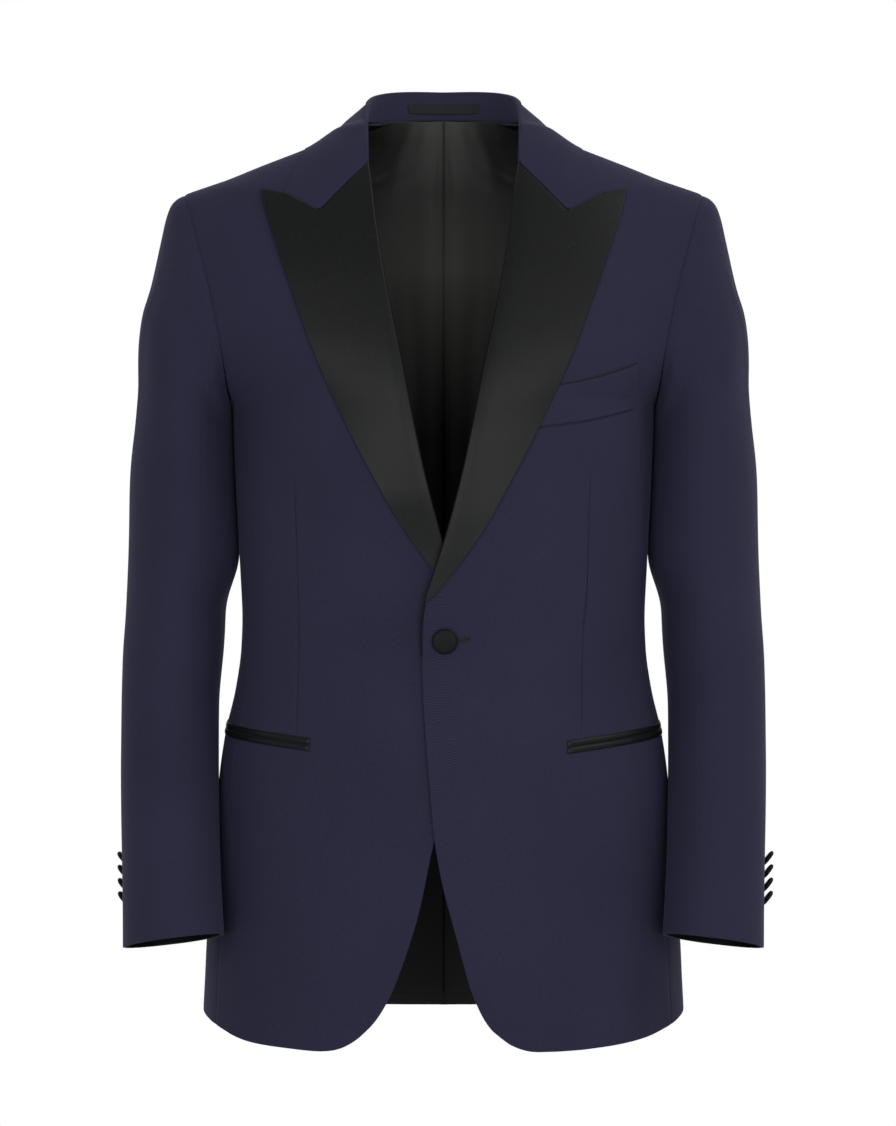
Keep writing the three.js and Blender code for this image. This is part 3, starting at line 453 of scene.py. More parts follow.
def place_grid(bm, grid, side, turned=False):
    rows, columns = grid.shape[:2]
    bmesh.ops.create_grid(bm, x_segments=columns - 1, y_segments=rows - 1, size=1)
    place = {}
    for vert in bm.verts:
        i = round((vert.co.x + 1) / 2 * (columns - 1))
        j = round((1 - vert.co.y) / 2 * (rows - 1))
        place[vert] = (j, columns - 1 - i if turned else i)
    for vert, at in place.items():
        vert.co = grid[at] * np.array([side, 1, 1]) * MM
    for face in bm.faces:
        face.smooth = True
    return place


def finished_piece(name, bm, finishes):
    mesh = bpy.data.meshes.new(name)
    bm.to_mesh(mesh)
    bm.free()
    for finish in finishes:
        mesh.materials.append(finish)
    piece = bpy.data.objects.new(name, mesh)
    bpy.context.scene.collection.objects.link(piece)
    return piece


def soften(piece, name):
    soft = piece.modifiers.new(name, "SUBSURF")
    soft.levels = soft.render_levels = 1


# %% One panel of cloth
cloth_sizes = {}


def lay_cloth(name, grid, threads, thick, finishes, side=1, ring=False):
    bm = bmesh.new()
    weave = bm.loops.layers.uv.new("weave")
    place = place_grid(bm, grid, side, turned=side < 0)
    for face in bm.faces:
        for loop in face.loops:
            loop[weave].uv = threads[place[loop.vert]] * MM
    if ring:
        bmesh.ops.remove_doubles(bm, verts=bm.verts, dist=SAME_PLACE)
    piece = finished_piece(name, bm, finishes)
    wall = piece.modifiers.new("cloth wall", "SOLIDIFY")
    wall.thickness = thick * MM
    wall.offset = -1
    wall.use_even_offset = False
    wall.material_offset = len(finishes) - 1
    soften(piece, "soft edges")
    wide, long = walked(grid, 1)[:, -1].max(), walked(grid, 0)[-1].max()
    cells = np.cross(grid[1:, 1:] - grid[:-1, :-1], grid[1:, :-1] - grid[:-1, 1:])
    area = np.linalg.norm(cells, axis=-1).sum() / 2
    cloth_sizes[name] = (wide * MM, long * MM, area * MM * MM)
    return piece


# %% [markdown]
# ## Finishes
#
# The cloth is a tropical weight wool and mohair: matt, very dark blue, with a fine plain weave. The
# lapels and pocket jets are silk satin, whose long floating threads give a broad, soft highlight. The
# lining is smooth viscose. Colours are written as sRGB hex values and turned to linear light by one
# function.

# %% Colour and node helpers


def linear(code):
    parts = [int(code[i : i + 2], 16) / 255 for i in (1, 3, 5)]
    light = [c / 12.92 if c <= 0.04045 else ((c + 0.055) / 1.055) ** 2.4 for c in parts]
    return (*light, 1)


def add(tree, kind, inputs=None, **settings):
    step = tree.nodes.new(kind)
    for key, value in settings.items():
        setattr(step, key, value)
    for socket, value in (inputs or {}).items():
        if isinstance(value, bpy.types.NodeSocket):
            tree.links.new(value, step.inputs[socket])
        else:
            step.inputs[socket].default_value = value
    return step


def new_finish(name):
    finish = bpy.data.materials.new(name)
    finish.use_nodes = True
    tree = finish.node_tree
    shader = tree.nodes["Principled BSDF"]
    return finish, tree, shader


def threads_wave(tree, source, pitch, axis, phase=0.0):
    split = add(tree, "ShaderNodeSeparateXYZ", {0: source})
    turn = {0: split.outputs[axis], 1: 2 * math.pi / pitch, 2: phase}
    scaled = add(tree, "ShaderNodeMath", turn, operation="MULTIPLY_ADD")
    return add(tree, "ShaderNodeMath", {0: scaled.outputs[0]}, operation="SINE").outputs[0]


# %% Wool and mohair, plain weave
# The real threads are 0.35 mm apart, too fine for the picture, so the weave is drawn at 2.2 mm a
# repeat, which is the size that still reads as woven cloth from three metres.
WEAVE = 0.0022


def make_wool(name, dark, light):
    finish, tree, shader = new_finish(name)
    uv = add(tree, "ShaderNodeUVMap", uv_map="weave").outputs[0]
    warp = threads_wave(tree, uv, WEAVE, 0)
    weft = threads_wave(tree, uv, WEAVE, 1)
    crown = add(tree, "ShaderNodeMath", {0: warp, 1: weft}, operation="MULTIPLY").outputs[0]
    height = add(tree, "ShaderNodeMath", {0: crown, 1: 0.5, 2: 0.5}, operation="MULTIPLY_ADD")
    place = add(tree, "ShaderNodeTexCoord").outputs["Object"]
    fibre = add(tree, "ShaderNodeTexNoise", {"Vector": place, "Scale": 900, "Detail": 3})
    cloud = add(tree, "ShaderNodeTexNoise", {"Vector": place, "Scale": 9, "Detail": 2})
    blend = add(
        tree, "ShaderNodeMath", {0: height.outputs[0], 1: fibre.outputs[0]}, operation="ADD"
    )
    half = add(tree, "ShaderNodeMath", {0: blend.outputs[0], 1: 0.5}, operation="MULTIPLY")
    tone = add(
        tree, "ShaderNodeMath", {0: cloud.outputs[0], 1: 0.35, 2: half.outputs[0]},
        operation="MULTIPLY_ADD",
    )
    ramp = add(tree, "ShaderNodeValToRGB", {0: tone.outputs[0]})
    ramp.color_ramp.elements[0].position = 0.3
    ramp.color_ramp.elements[0].color = linear(dark)
    ramp.color_ramp.elements[1].position = 1.05
    ramp.color_ramp.elements[1].color = linear(light)
    tree.links.new(ramp.outputs[0], shader.inputs["Base Color"])
    bump = add(
        tree, "ShaderNodeBump", {"Height": blend.outputs[0], "Strength": 0.25, "Distance": 0.0002}
    )
    tree.links.new(bump.outputs[0], shader.inputs["Normal"])
    shader.inputs["Roughness"].default_value = 0.85
    shader.inputs["IOR"].default_value = 1.5
    shader.inputs["Specular IOR Level"].default_value = 0.1
    shader.inputs["Sheen Weight"].default_value = 0.16
    shader.inputs["Sheen Roughness"].default_value = 0.5
    shader.inputs["Sheen Tint"].default_value = linear("#7a7a9a")
    return finish


wool = make_wool("midnight blue wool and mohair", "#171728", "#28283b")
print("wool repeat:", WEAVE * 1000, "mm")

# %% Silk satin of the lapels, jets and buttons
# Satin threads float along the warp, so the shine is stretched across them. The floats are 0.2 mm
# wide in truth and are drawn 1.5 mm wide here.
FLOAT = 0.0015


def make_satin(name, dark, light, rough, shine):
    finish, tree, shader = new_finish(name)
    uv = add(tree, "ShaderNodeUVMap", uv_map="weave").outputs[0]
    turned = add(tree, "ShaderNodeMapping", {"Vector": uv, "Rotation": (0, 0, math.radians(28))})
    rib = threads_wave(tree, turned.outputs[0], FLOAT, 1)
    place = add(tree, "ShaderNodeTexCoord").outputs["Object"]
    grain = add(tree, "ShaderNodeTexNoise", {"Vector": place, "Scale": 750, "Detail": 2})
    fine = add(tree, "ShaderNodeMath", {0: rib, 1: 0.25, 2: grain.outputs[0]}, operation="MULTIPLY_ADD")
    ramp = add(tree, "ShaderNodeValToRGB", {0: fine.outputs[0]})
    ramp.color_ramp.elements[0].position = 0.2
    ramp.color_ramp.elements[0].color = linear(dark)
    ramp.color_ramp.elements[1].position = 0.85
    ramp.color_ramp.elements[1].color = linear(light)
    tree.links.new(ramp.outputs[0], shader.inputs["Base Color"])
    bump = add(
        tree, "ShaderNodeBump", {"Height": fine.outputs[0], "Strength": 0.16, "Distance": 0.00015}
    )
    tree.links.new(bump.outputs[0], shader.inputs["Normal"])
    shader.inputs["Roughness"].default_value = rough
    shader.inputs["IOR"].default_value = 1.54
    shader.inputs["Specular IOR Level"].default_value = shine
    return finish


satin = make_satin("black silk satin", "#070808", "#161717", 0.42, 0.12)

# %% Viscose lining with painted light, buttons' cover, twist and painted shade lines
# Smooth cloth, ribbon, twist and the dark finishes of the painted shade lines share one build: two near
# blacks mixed by a soft cloud, with a fine grain as bump. The lining of the back also carries painted
# light: its upper half is painted lighter, more in the middle than towards the sides, where light falls
# in through the neck, and one function lays that painted light and the painted side shade over the
# cloud.
PAINTED_LIGHT_HEIGHTS = (-0.3, 0.02)
PAINTED_SHADE_WIDTHS = (0.012, 0.05)
SIDE_SHADE = "#b4b4b4"


def share_between(tree, value, ends):
    span = {"Value": value, "From Min": ends[0], "From Max": ends[1]}
    return add(tree, "ShaderNodeMapRange", span).outputs[0]


def mixed(tree, first, second, way):
    both = {0: 1.0, 6: first, 7: second}
    return add(tree, "ShaderNodeMix", both, data_type="RGBA", blend_type=way).outputs[2]


# Painted light and shade: a lighter band is added over the upper back lining for the light that falls in
# at the neck, and the colour is multiplied darker 12 to 50 mm out from the middle as painted side shade.
def painted_neck_light(tree, place, colour, fade):
    at = add(tree, "ShaderNodeSeparateXYZ", {0: place})
    share = share_between(tree, at.outputs["Z"], PAINTED_LIGHT_HEIGHTS)
    neck_light_bands = add(tree, "ShaderNodeValToRGB", {0: share})
    for stop, shade in fade:
        neck_light_bands.color_ramp.elements.new(stop).color = linear(shade)
    neck_light_bands.color_ramp.elements[0].color = linear("#000000")
    neck_light_bands.color_ramp.elements[-1].color = linear(fade[-1][1])
    away = add(tree, "ShaderNodeMath", {0: at.outputs["X"]}, operation="ABSOLUTE").outputs[0]
    side_shade_ramp = add(tree, "ShaderNodeValToRGB", {0: share_between(tree, away, PAINTED_SHADE_WIDTHS)})
    side_shade_ramp.color_ramp.elements[0].color = linear("#ffffff")
    side_shade_ramp.color_ramp.elements[1].color = linear(SIDE_SHADE)
    return mixed(tree, mixed(tree, colour, neck_light_bands.outputs[0], "ADD"), side_shade_ramp.outputs[0], "MULTIPLY")


def make_lining(name, dark, light, rough, shine, fade=()):
    finish, tree, shader = new_finish(name)
    place = add(tree, "ShaderNodeTexCoord").outputs["Object"]
    cloud = add(tree, "ShaderNodeTexNoise", {"Vector": place, "Scale": 14, "Detail": 3})
    grain = add(tree, "ShaderNodeTexNoise", {"Vector": place, "Scale": 1300, "Detail": 2})
    ramp = add(tree, "ShaderNodeValToRGB", {0: cloud.outputs[0]})
    ramp.color_ramp.elements[0].color = linear(dark)
    ramp.color_ramp.elements[1].color = linear(light)
    # With a fade table given, painted light and painted side shade are laid over the cloud.
    colour = painted_neck_light(tree, place, ramp.outputs[0], fade) if fade else ramp.outputs[0]
    tree.links.new(colour, shader.inputs["Base Color"])
    bump = add(
        tree, "ShaderNodeBump", {"Height": grain.outputs[0], "Strength": 0.08, "Distance": 0.0001}
    )
    tree.links.new(bump.outputs[0], shader.inputs["Normal"])
    shader.inputs["Roughness"].default_value = rough
    shader.inputs["IOR"].default_value = 1.5
    shader.inputs["Specular IOR Level"].default_value = shine
    return finish


viscose = make_lining("black viscose lining", "#070707", "#0c0c0c", 0.5, 0.14)
# Painted light on the back lining: near black low down, lightest at chest level, a little darker again
# near the collar.
PAINTED_NECK_LIGHT_BANDS = ((0.15, "#040404"), (0.42, "#3a3a38"), (0.6, "#484846"), (0.8, "#2a2a29"))
back_viscose_with_painted_light = make_lining("black viscose of the back with painted light", "#070707", "#0c0c0c", 0.5, 0.14, PAINTED_NECK_LIGHT_BANDS)
tab_ribbon = make_lining("black woven tab ribbon", "#101010", "#171717", 0.7, 0.2)
cover_silk = make_lining("black satin drawn over a button mould", "#070808", "#0c0d0e", 0.45, 0.08)
# Painted shade: this navy is used only for the tubes that darken the dart grooves and the welt's lower
# seam.
navy_painted_seam_shade = make_lining("navy painted seam shade", "#151524", "#202034", 0.6, 0.15)
# Real buttonhole twist, also used for the painted shadow lines at the welt's mouth and at the notch.
black_twist_and_shade = make_lining("black buttonhole twist and painted shadow lines", "#101111", "#191b1a", 0.5, 0.2)
print("finishes:", len(bpy.data.materials))

# %% [markdown]
# ## How the weave lies on the body
#
# On a tailored panel the warp hangs down and the weft runs round the body. `body_threads` measures how
# far round the body and how far down a point lies, from two tables that are added up on the form.

# %% Warp and weft on the form
HEM_LEVEL, TOP_LEVEL, LEVEL_STEP = -760, 20, 5
HALF_TURN = 180
LEVELS = (TOP_LEVEL - HEM_LEVEL) // LEVEL_STEP
ring_angles = np.linspace(0, math.pi, HALF_TURN + 1)
ring_levels = np.linspace(HEM_LEVEL, TOP_LEVEL, LEVELS + 1)


def ring_point(t, z):
    c, s = np.cos(t), np.abs(np.sin(t))
    deep = np.where(c > 0, front_at(z), back_at(z))
    y = -deep * np.sign(c) * np.abs(c) ** (2 / ROUND)
    return point(half_at(z) * s ** (2 / ROUND), y, z)


def angle_of(p):
    x, y, z = np.moveaxis(p, -1, 0)
    far = np.clip(np.abs(y) / depth_at(y, z), 0, 1)
    wide = np.clip(np.abs(x) / half_at(z), 0, 1)
    t = np.where(far < 0.6, np.arccos(far ** (ROUND / 2)), np.arcsin(wide ** (ROUND / 2)))
    return np.where(y < 0, t, math.pi - t)


ring_cells = ring_point(ring_angles[None, :], ring_levels[:, None])
round_it = walked(ring_cells, 1)
down_it = walked(ring_cells, 0)


def body_threads(p):
    t, z = angle_of(p), p[..., 2]
    a = np.clip(t / math.pi * HALF_TURN, 0, HALF_TURN - 0.001)
    b = np.clip((z - HEM_LEVEL) / LEVEL_STEP, 0, LEVELS - 0.001)
    i, j = a.astype(int), b.astype(int)
    s, r = a - i, b - j

    def read(cells):
        low = cells[j, i] * (1 - s) + cells[j, i + 1] * s
        high = cells[j + 1, i] * (1 - s) + cells[j + 1, i + 1] * s
        return low * (1 - r) + high * r

    return np.stack([read(round_it), read(down_it)], -1)


def cut_threads(grid):
    return np.stack([walked(grid, 1), -walked(grid, 0)], -1)


waist = (-400 - HEM_LEVEL) // LEVEL_STEP
print("girth at the waist:", round(2 * float(round_it[waist, -1])), "mm")

# %% [markdown]
# ## The fronts
#
# A front runs from the shoulder seam and armhole down to the hem, with its edge along the roll line
# and the cut-away. One column of the grid follows the chest dart, so that it can be pressed in as a
# real stitched line, and the cloth bellies out a little on both sides of it.

# %% Columns through the dart
DART = {
    1: table("z x", (-279, 119), (-390, 116.4), (-419, 113.1), (-498, 112.1)),
    -1: table("z x", (-278, 121.4), (-358, 118.8), (-422, 117.9), (-499, 119.1)),
}
DART_STEPS = np.array([0.0, 0.45, 1.1, 3.5])


def through_dart(cells, side, inner, outer):
    dart = track(DART[side], "z", "x")
    ends = DART[side]["z"]
    made = []
    for row in cells:
        s = np.concatenate([[0], np.cumsum(np.linalg.norm(np.diff(row, axis=0), axis=1))])
        off = row[:, 0] - dart(np.clip(row[:, 2], ends.min(), ends.max()))
        k = int(np.argmax(off > 0))
        at = s[k - 1] + (s[k] - s[k - 1]) * -off[k - 1] / (off[k] - off[k - 1])
        left = np.linspace(0, at, inner + 1)
        right = np.linspace(at, s[-1], outer + 1)
        left[1:5] = CLOSE
        left[-4:] = at - DART_STEPS[::-1]
        right[:4] = at + DART_STEPS
        right[-5:-1] = s[-1] - CLOSE[::-1]
        where = np.concatenate([left, right[1:]])
        made.append(np.stack([np.interp(where, s, c) for c in row.T], -1))
    return np.array(made)


def inward_from(line):
    tangent = unit(np.gradient(line, axis=0))
    m = unit(np.cross(outward(line), tangent))
    return np.where(m[:, :1] < 0, -m, m)


FRONT_SET_BACK = 0.9
roll_line = smooth_line(on_front(ROLL_LINE))
roll_dense = roll_line(np.linspace(0, 1, 41))
roll_dense = face_at(roll_dense[:, 0], roll_dense[:, 2])
roll_inward = inward_from(roll_dense)
print("roll line ends at", roll_dense[-1].round(1))

# %% Front folds: x, z, x, z, width, height
FRONT_FOLDS = {
    1: [
        (150, -255, 138, -360, 16, 1.0), (165, -300, 128, -385, 12, -0.7),
        (30, -430, 100, -470, 14, 0.7), (30, -445, 80, -520, 12, -0.6),
        (60, -560, 75, -730, 22, 0.9), (120, -560, 130, -740, 20, -0.8),
        (150, -540, 158, -730, 14, 0.8), (165, -110, 150, -200, 14, -0.8),
        (60, -395, 110, -375, 12, 0.5),
    ],
    -1: [
        (152, -262, 141, -352, 15, 1.0), (166, -310, 131, -392, 12, -0.6),
        (34, -438, 96, -482, 15, 0.7), (26, -452, 70, -540, 12, -0.5),
        (70, -555, 88, -735, 24, 0.9), (128, -565, 134, -735, 18, -0.8),
        (154, -550, 161, -735, 14, 0.8), (168, -115, 153, -190, 14, -0.8),
        (55, -388, 104, -366, 13, 0.5),
    ],
}


# A front has 19 steps down: 3 on the neck, 8 on the roll line and 8 on the edge, or 6 on the armhole
# and 13 on the seam.
FRONT_STEPS = 19
INNER_COLUMNS, OUTER_COLUMNS = 22, 20


def front_grid(side, edge_rows, hem_rows):
    roll_edge = settle(roll_dense + roll_inward * (ROLL + FRONT_SET_BACK))[0:38:4]
    neck = smooth_line([NECK_POINT, *on_front(NECK_FRONT), roll_edge[0]])
    low_rows = [*on_front(hem_rows), front_seam(np.array([1.0]))[0]]
    edge, low = smooth_pair([roll_edge[-1], *on_front(edge_rows)], low_rows)
    v = FRONT_STEPS * spaced(76, 800)
    left = joined(v, (3, neck), (8, smooth_line(roll_edge)), (8, edge))
    right = joined(v, (6, lambda s: armhole(FRONT_NOTCH * s)), (13, front_seam))
    u = np.linspace(0, 1, 61)
    cells = patch(shoulder_seam(u), low(u), left, right, u, v / FRONT_STEPS)
    return settle(through_dart(settle(cells), side, INNER_COLUMNS, OUTER_COLUMNS))


def front_panel(name, side, edge_rows, hem_rows):
    cells = front_grid(side, edge_rows, hem_rows)
    ends = DART[side]["z"]
    dart = track(DART[side], "z", "x")
    z = cells[..., 2]
    off = cells[..., 0] - dart(np.clip(z, ends.min(), ends.max()))
    run = ease((ends.max() - z) / 25) * ease((z - ends.min()) / 6)
    groove = -1.5 * run * np.exp(-((off / 0.55) ** 2)) + 0.3 * run * np.exp(-((off / 9) ** 2))
    lift = lift_of(cells, side) + groove + sink(cells, "right top", 0.5)
    lift += swell(cells, FRONT_FOLDS[side], 0, 2) * ease((z + 753) / 60)
    grid = overlap(cells + outward(cells) * lift[..., None], "right top")
    return lay_cloth(name, grid, body_threads(cells), CLOTH, [wool, viscose], side)


fronts = [
    front_panel("cloth_front_left", 1, EDGE_OVER, HEM_OVER),
    front_panel("cloth_front_right", -1, EDGE_UNDER, HEM_UNDER),
]
print("fronts:", [p.name for p in fronts])

# %% [markdown]
# ## Side panels and backs
#
# The side panel closes the body under the arm. The back has a centre seam and is laid out by angle
# and level, because near the neck it wraps over the shoulder.

# %% Side panels
SIDE_FOLDS = [
    (-20, -270, -8, -400, 12, 0.9), (25, -280, 30, -390, 13, -0.8),
    (-30, -470, -20, -700, 14, 0.8), (30, -470, 45, -720, 16, -0.9),
    (5, -380, 40, -440, 9, 0.7), (-10, -400, -40, -440, 9, -0.5),
    (2, -215, 2, -345, 22, 0.6),
]


def side_panel(word, side):
    u, v = spaced(14, 110), spaced(60, 540)
    top = armhole(FRONT_NOTCH + (BACK_NOTCH - FRONT_NOTCH) * u)
    low = smooth_line(flank_at(SIDE_HEM["y"], SIDE_HEM["z"]))(u)
    low = flank_at(low[:, 1], low[:, 2])
    cells = settle(patch(top, low, front_seam(v), back_seam(v), u, v))
    lift = sink(cells, "left right top", 0.5) + swell(cells, SIDE_FOLDS, 1, 2)
    grid = overlap(cells + outward(cells) * lift[..., None], "left right top")
    return lay_cloth(f"cloth_side_{word}", grid, body_threads(cells), CLOTH, [wool, viscose], side)


side_panels = [side_panel(word, side) for word, side in SIDES]
print("side panels:", [p.name for p in side_panels])

# %% Backs with a centre seam
BACK_FOLDS = [
    (150, -110, 130, -210, 18, 1.2), (120, -90, 105, -200, 16, -0.9),
    (40, -60, 30, -190, 22, 0.8), (150, -330, 90, -400, 16, 1.0),
    (140, -380, 60, -425, 14, -1.0), (120, -420, 40, -455, 13, 0.7),
    (70, -520, 80, -730, 22, 1.0), (115, -500, 125, -735, 18, -0.9),
    (30, -560, 34, -735, 20, -0.7), (150, -520, 158, -735, 14, 0.9),
]


# A back has 23 steps down: 4 on the shoulder seam, 6 on the armhole and 13 on the side seam.
BACK_STEPS = 23


def back_grid(v, u):
    neck_rows = list(face_at(NECKLINE["x"], NECKLINE["z"], 1))[::-1]
    top = smooth_line([NECK_POINT, *neck_rows])(u)
    left = joined(
        v, (4, shoulder_seam), (6, lambda s: armhole(360 + (BACK_NOTCH - 360) * s)), (13, back_seam)
    )
    near_neck = [17, 6, -8, -24]
    levels = np.concatenate([near_neck, np.linspace(-42, -742.5, BACK_STEPS - 3)])
    right = face_at(0, np.interp(v, np.arange(BACK_STEPS + 1), levels), 1)
    hem = list(face_at(BACK_HEM["x"], BACK_HEM["z"], 1))
    bottom = smooth_line([back_seam(np.array([1.0]))[0], *hem])(u)

    def flat(line):
        return np.stack([angle_of(line), line[:, 2], np.zeros(len(line))], -1)

    cells = patch(flat(top), flat(bottom), flat(left), flat(right), u, v / BACK_STEPS)
    cells = ring_point(cells[..., 0], cells[..., 1])
    cells[:, -1, 0] = 0
    cells[:, 0] = left
    return cells


def back_panel(word, side):
    cells = back_grid(BACK_STEPS * spaced(80, 760), spaced(34, 190))
    folds = swell(cells, BACK_FOLDS, 0, 2) * ease(cells[..., 1] / 40)
    lift = sink(cells, "left right top") + folds
    grid = overlap(cells + outward(cells) * lift[..., None], "left top")
    grid[:, -1, 0] = -0.45
    return lay_cloth(f"cloth_back_{word}", grid, body_threads(cells), CLOTH, [wool, viscose], side)


backs = [back_panel(word, side) for word, side in SIDES]
print("backs:", [p.name for p in backs])

# %% [markdown]
# ## The lining of the back
#
# Through the open front one sees the lining of the back: two halves of black viscose sewn down the
# middle. A lining is cut with ease, so it hangs in soft upright folds and puckers under the collar.

# %% Back lining
LINING_FOLDS = [
    (15, 0, 11, -330, 9, 1.4), (34, -10, 27, -350, 9, -2.0), (52, 0, 43, -300, 9, 3.2),
    (24, 16, 36, -60, 5, 2.2), (42, 14, 60, -50, 5, 3.2), (53, 16, 70, -40, 4.5, 3.0),
    (8, 16, 10, -60, 5, 0.9), (72, -40, 64, -400, 14, 2.4), (98, -80, 92, -420, 15, 1.8),
    (20, -380, 26, -720, 15, 2.2), (56, -420, 60, -720, 14, 2.0), (96, -450, 104, -715, 16, 2.2),
]


def back_lining(word, side):
    cells = back_grid(BACK_STEPS * np.linspace(0.006, 0.9885, 72), spaced(30, 190, start=False))
    normal = outward(cells)
    loose = swell(cells, LINING_FOLDS, 0, 2) * ease(cells[..., 1] / 50)
    off, hung = cells[..., 0], walked(cells, 0)
    held = ease(off / 7) * ease(hung / 9)
    drop = CLOTH + 0.6 + 1.5 * ease(off / 1.1) + np.maximum(loose, -0.8) * held
    grid = cells - normal * drop[..., None]
    grid[..., 2] += (3.2 + 3 * ease((off - 15) / 40)) * (1 - ease(hung / 12))
    grid[:, -1, 0] = -0.3
    return lay_cloth(f"lining_of_back_{word}", grid, cut_threads(grid), LINING, [back_viscose_with_painted_light], side)


linings = [back_lining(word, side) for word, side in SIDES]
print("linings:", [p.name for p in linings])

# %% [markdown]
# ## The sleeves
#
# A two-piece sleeve has a top half and an under half. Its head is eased into the armhole with a slight
# roll. The arm hangs, so the sleeve bends forward a little below the elbow, and the cloth breaks into
# a few soft folds there.

# %% Sleeve sizes
SLEEVE = table(
    "z tilt lean outer inner middle deep",
    (-248.5, 13.5, 0, 256, 174.8, 4, 152), (-300, 8, 0, 261, 172.5, 6, 146),
    (-350, 3, 0, 262.3, 170.4, 7.5, 138), (-400, 0, 0, 264.5, 182.4, 6, 130),
    (-440, 0, 0, 266.8, 184.6, 0, 125), (-480, 0, 0, 267.4, 186.7, -8, 120),
    (-520, 0, 1, 267, 186.2, -21, 114), (-560, -1, 2.7, 265.4, 184.8, -40, 107),
    (-600, -2.5, 4.4, 263.2, 183, -58, 101), (-640, -4.5, 6.1, 261.4, 180.4, -73, 97),
    (-667.5, -5.5, 7, 260.6, 178.2, -81.5, 95),
)
HEAD = table(
    "s out drop",
    (0, 0, 0), (0.07, 0.21, 0.028), (0.16, 0.34, 0.085), (0.3, 0.49, 0.225), (0.5, 0.7, 0.43),
    (0.65, 0.88, 0.57), (0.78, 0.945, 0.72), (0.9, 0.95, 0.86), (1, 1, 1),
)
HIND_SEAM = table("s turn", (0, 0), (1, 0), (1.4, 10), (2, 54))
SLEEVE_ROUND = 2.1
SLEEVE_TOP, SLEEVE_END = -248.5, -667.5
HEAD_SHARE = 0.3
FORE, HIND = 115, 270
sleeve_of = {key: track(SLEEVE, "z", key) for key in SLEEVE if key != "z"}
head_out = track(HEAD, "s", "out")
head_drop = track(HEAD, "s", "drop")
hind_turn = track(HIND_SEAM, "s", "turn")


def sleeve_ring(angle, z):
    c, s = np.cos(np.radians(angle)), np.sin(np.radians(angle))
    outer, inner = sleeve_of["outer"](z), sleeve_of["inner"](z)
    power = 2 / SLEEVE_ROUND
    x = (outer + inner) / 2 + (outer - inner) / 2 * np.sign(c) * np.abs(c) ** power
    y = sleeve_of["middle"](z) - sleeve_of["deep"](z) / 2 * np.sign(s) * np.abs(s) ** power
    return point(x, y, z + sleeve_of["tilt"](z) * c + sleeve_of["lean"](z) * s)


def sleeve_at(angle, w):
    angle, w = np.broadcast_arrays(np.asarray(angle, float), np.asarray(w, float))
    tube = sleeve_ring(angle, SLEEVE_TOP + (SLEEVE_END - SLEEVE_TOP) * np.clip(w - 1, 0, 1))
    a = armhole(angle % 360) + np.array([0.45, 0, 0])
    b = sleeve_ring(angle, np.full(angle.shape, SLEEVE_TOP))
    share = np.stack([head_out(w), ease(w), head_drop(w)], -1)
    head = a + (b - a) * share
    return np.where((w >= 1)[..., None], tube, head)


def sleeve_normal(angle, w):
    low = np.maximum(w, 0.02)
    du = sleeve_at(angle + 1, low) - sleeve_at(angle - 1, low)
    dw = sleeve_at(angle, low + 0.004) - sleeve_at(angle, low - 0.004)
    n = unit(np.cross(du, dw))
    body = outward(armhole(angle % 360))
    share = np.clip((n * body).sum(-1), 0, 1) * (w <= 0.001)
    return unit(n + (body - n) * share[..., None])


print("cuff across:", round(SLEEVE["outer"][-1] - SLEEVE["inner"][-1], 1), "mm")

# %% Sleeve folds: angle, share down, angle, share down, width, height
# Angles are shares of a turn times 100 here, so that width and length are of the same order.
SLEEVE_FOLDS = [
    (20, 45, 48, 52, 4.0, -1.6), (15, 52, 50, 60, 4.5, 1.5), (22, 63, 46, 66, 3.6, -1.2),
    (52, 40, 75, 36, 4.5, 1.4), (55, 47, 80, 44, 4.2, -1.3), (50, 58, 78, 57, 4.0, 1.0),
    (10, 14, 22, 26, 4.5, 1.3), (28, 12, 40, 24, 4.5, -1.3), (62, 14, 80, 26, 5.0, 1.6),
    (86, 12, 80, 34, 4.5, -1.0), (5, 30, 8, 70, 6, 0.9), (92, 60, 90, 88, 5, 0.8),
    (35, 74, 48, 80, 4, 0.9), (14, 78, 30, 84, 4, -0.7),
    (8, 12, 5.6, 30, 1.7, 1.7), (5.6, 13, 3.2, 31, 1.3, -2.4), (-4, 15, -3, 28, 3.8, 2.4),
]


def sleeve_half(name, angles_from, angles_to, top, side):
    v = spaced(84, 640)
    w = np.where(v < HEAD_SHARE, v / HEAD_SHARE, 1 + (v - HEAD_SHARE) / (1 - HEAD_SHARE))[:, None]
    t = spaced(40 if top else 28, 190 if top else 130)[None, :]
    hind, fore = ("right", "left") if top else ("left", "right")
    angle = angles_from + (angles_to - angles_from) * t
    angle = angle + hind_turn(w) * (t if top else 1 - t)
    w = np.broadcast_to(w, angle.shape)
    cells = sleeve_at(angle, w)
    normal = sleeve_normal(angle, w)
    where = point((angle % 360) / 3.6, 0, 100 * np.broadcast_to(v[:, None], angle.shape))
    fade = ease((v - 0.05) / 0.12) * ease((0.985 - v) / 0.1)
    turns = [where + np.array([k, 0, 0]) for k in (-100, 0, 100)]
    lift = sum(swell(turn, SLEEVE_FOLDS, 0, 2) for turn in turns) * fade[:, None]
    lift += sink(cells, hind, 0.8) + sink(cells, fore, 0.12, 2) + sink(cells, "top", 0.3, 2.5)
    grid = overlap(cells + normal * lift[..., None], "left right top", 0.7)
    return lay_cloth(name, grid, cut_threads(grid), CLOTH, [wool, viscose], side)


sleeves = []
for word, side in SIDES:
    sleeves.append(sleeve_half(f"cloth_top_sleeve_{word}", FORE, HIND - 360, True, side))
    sleeves.append(sleeve_half(f"cloth_under_sleeve_{word}", HIND, FORE, False, side))
print("sleeve halves:", len(sleeves))

# %% Sleeve lining at the cuff


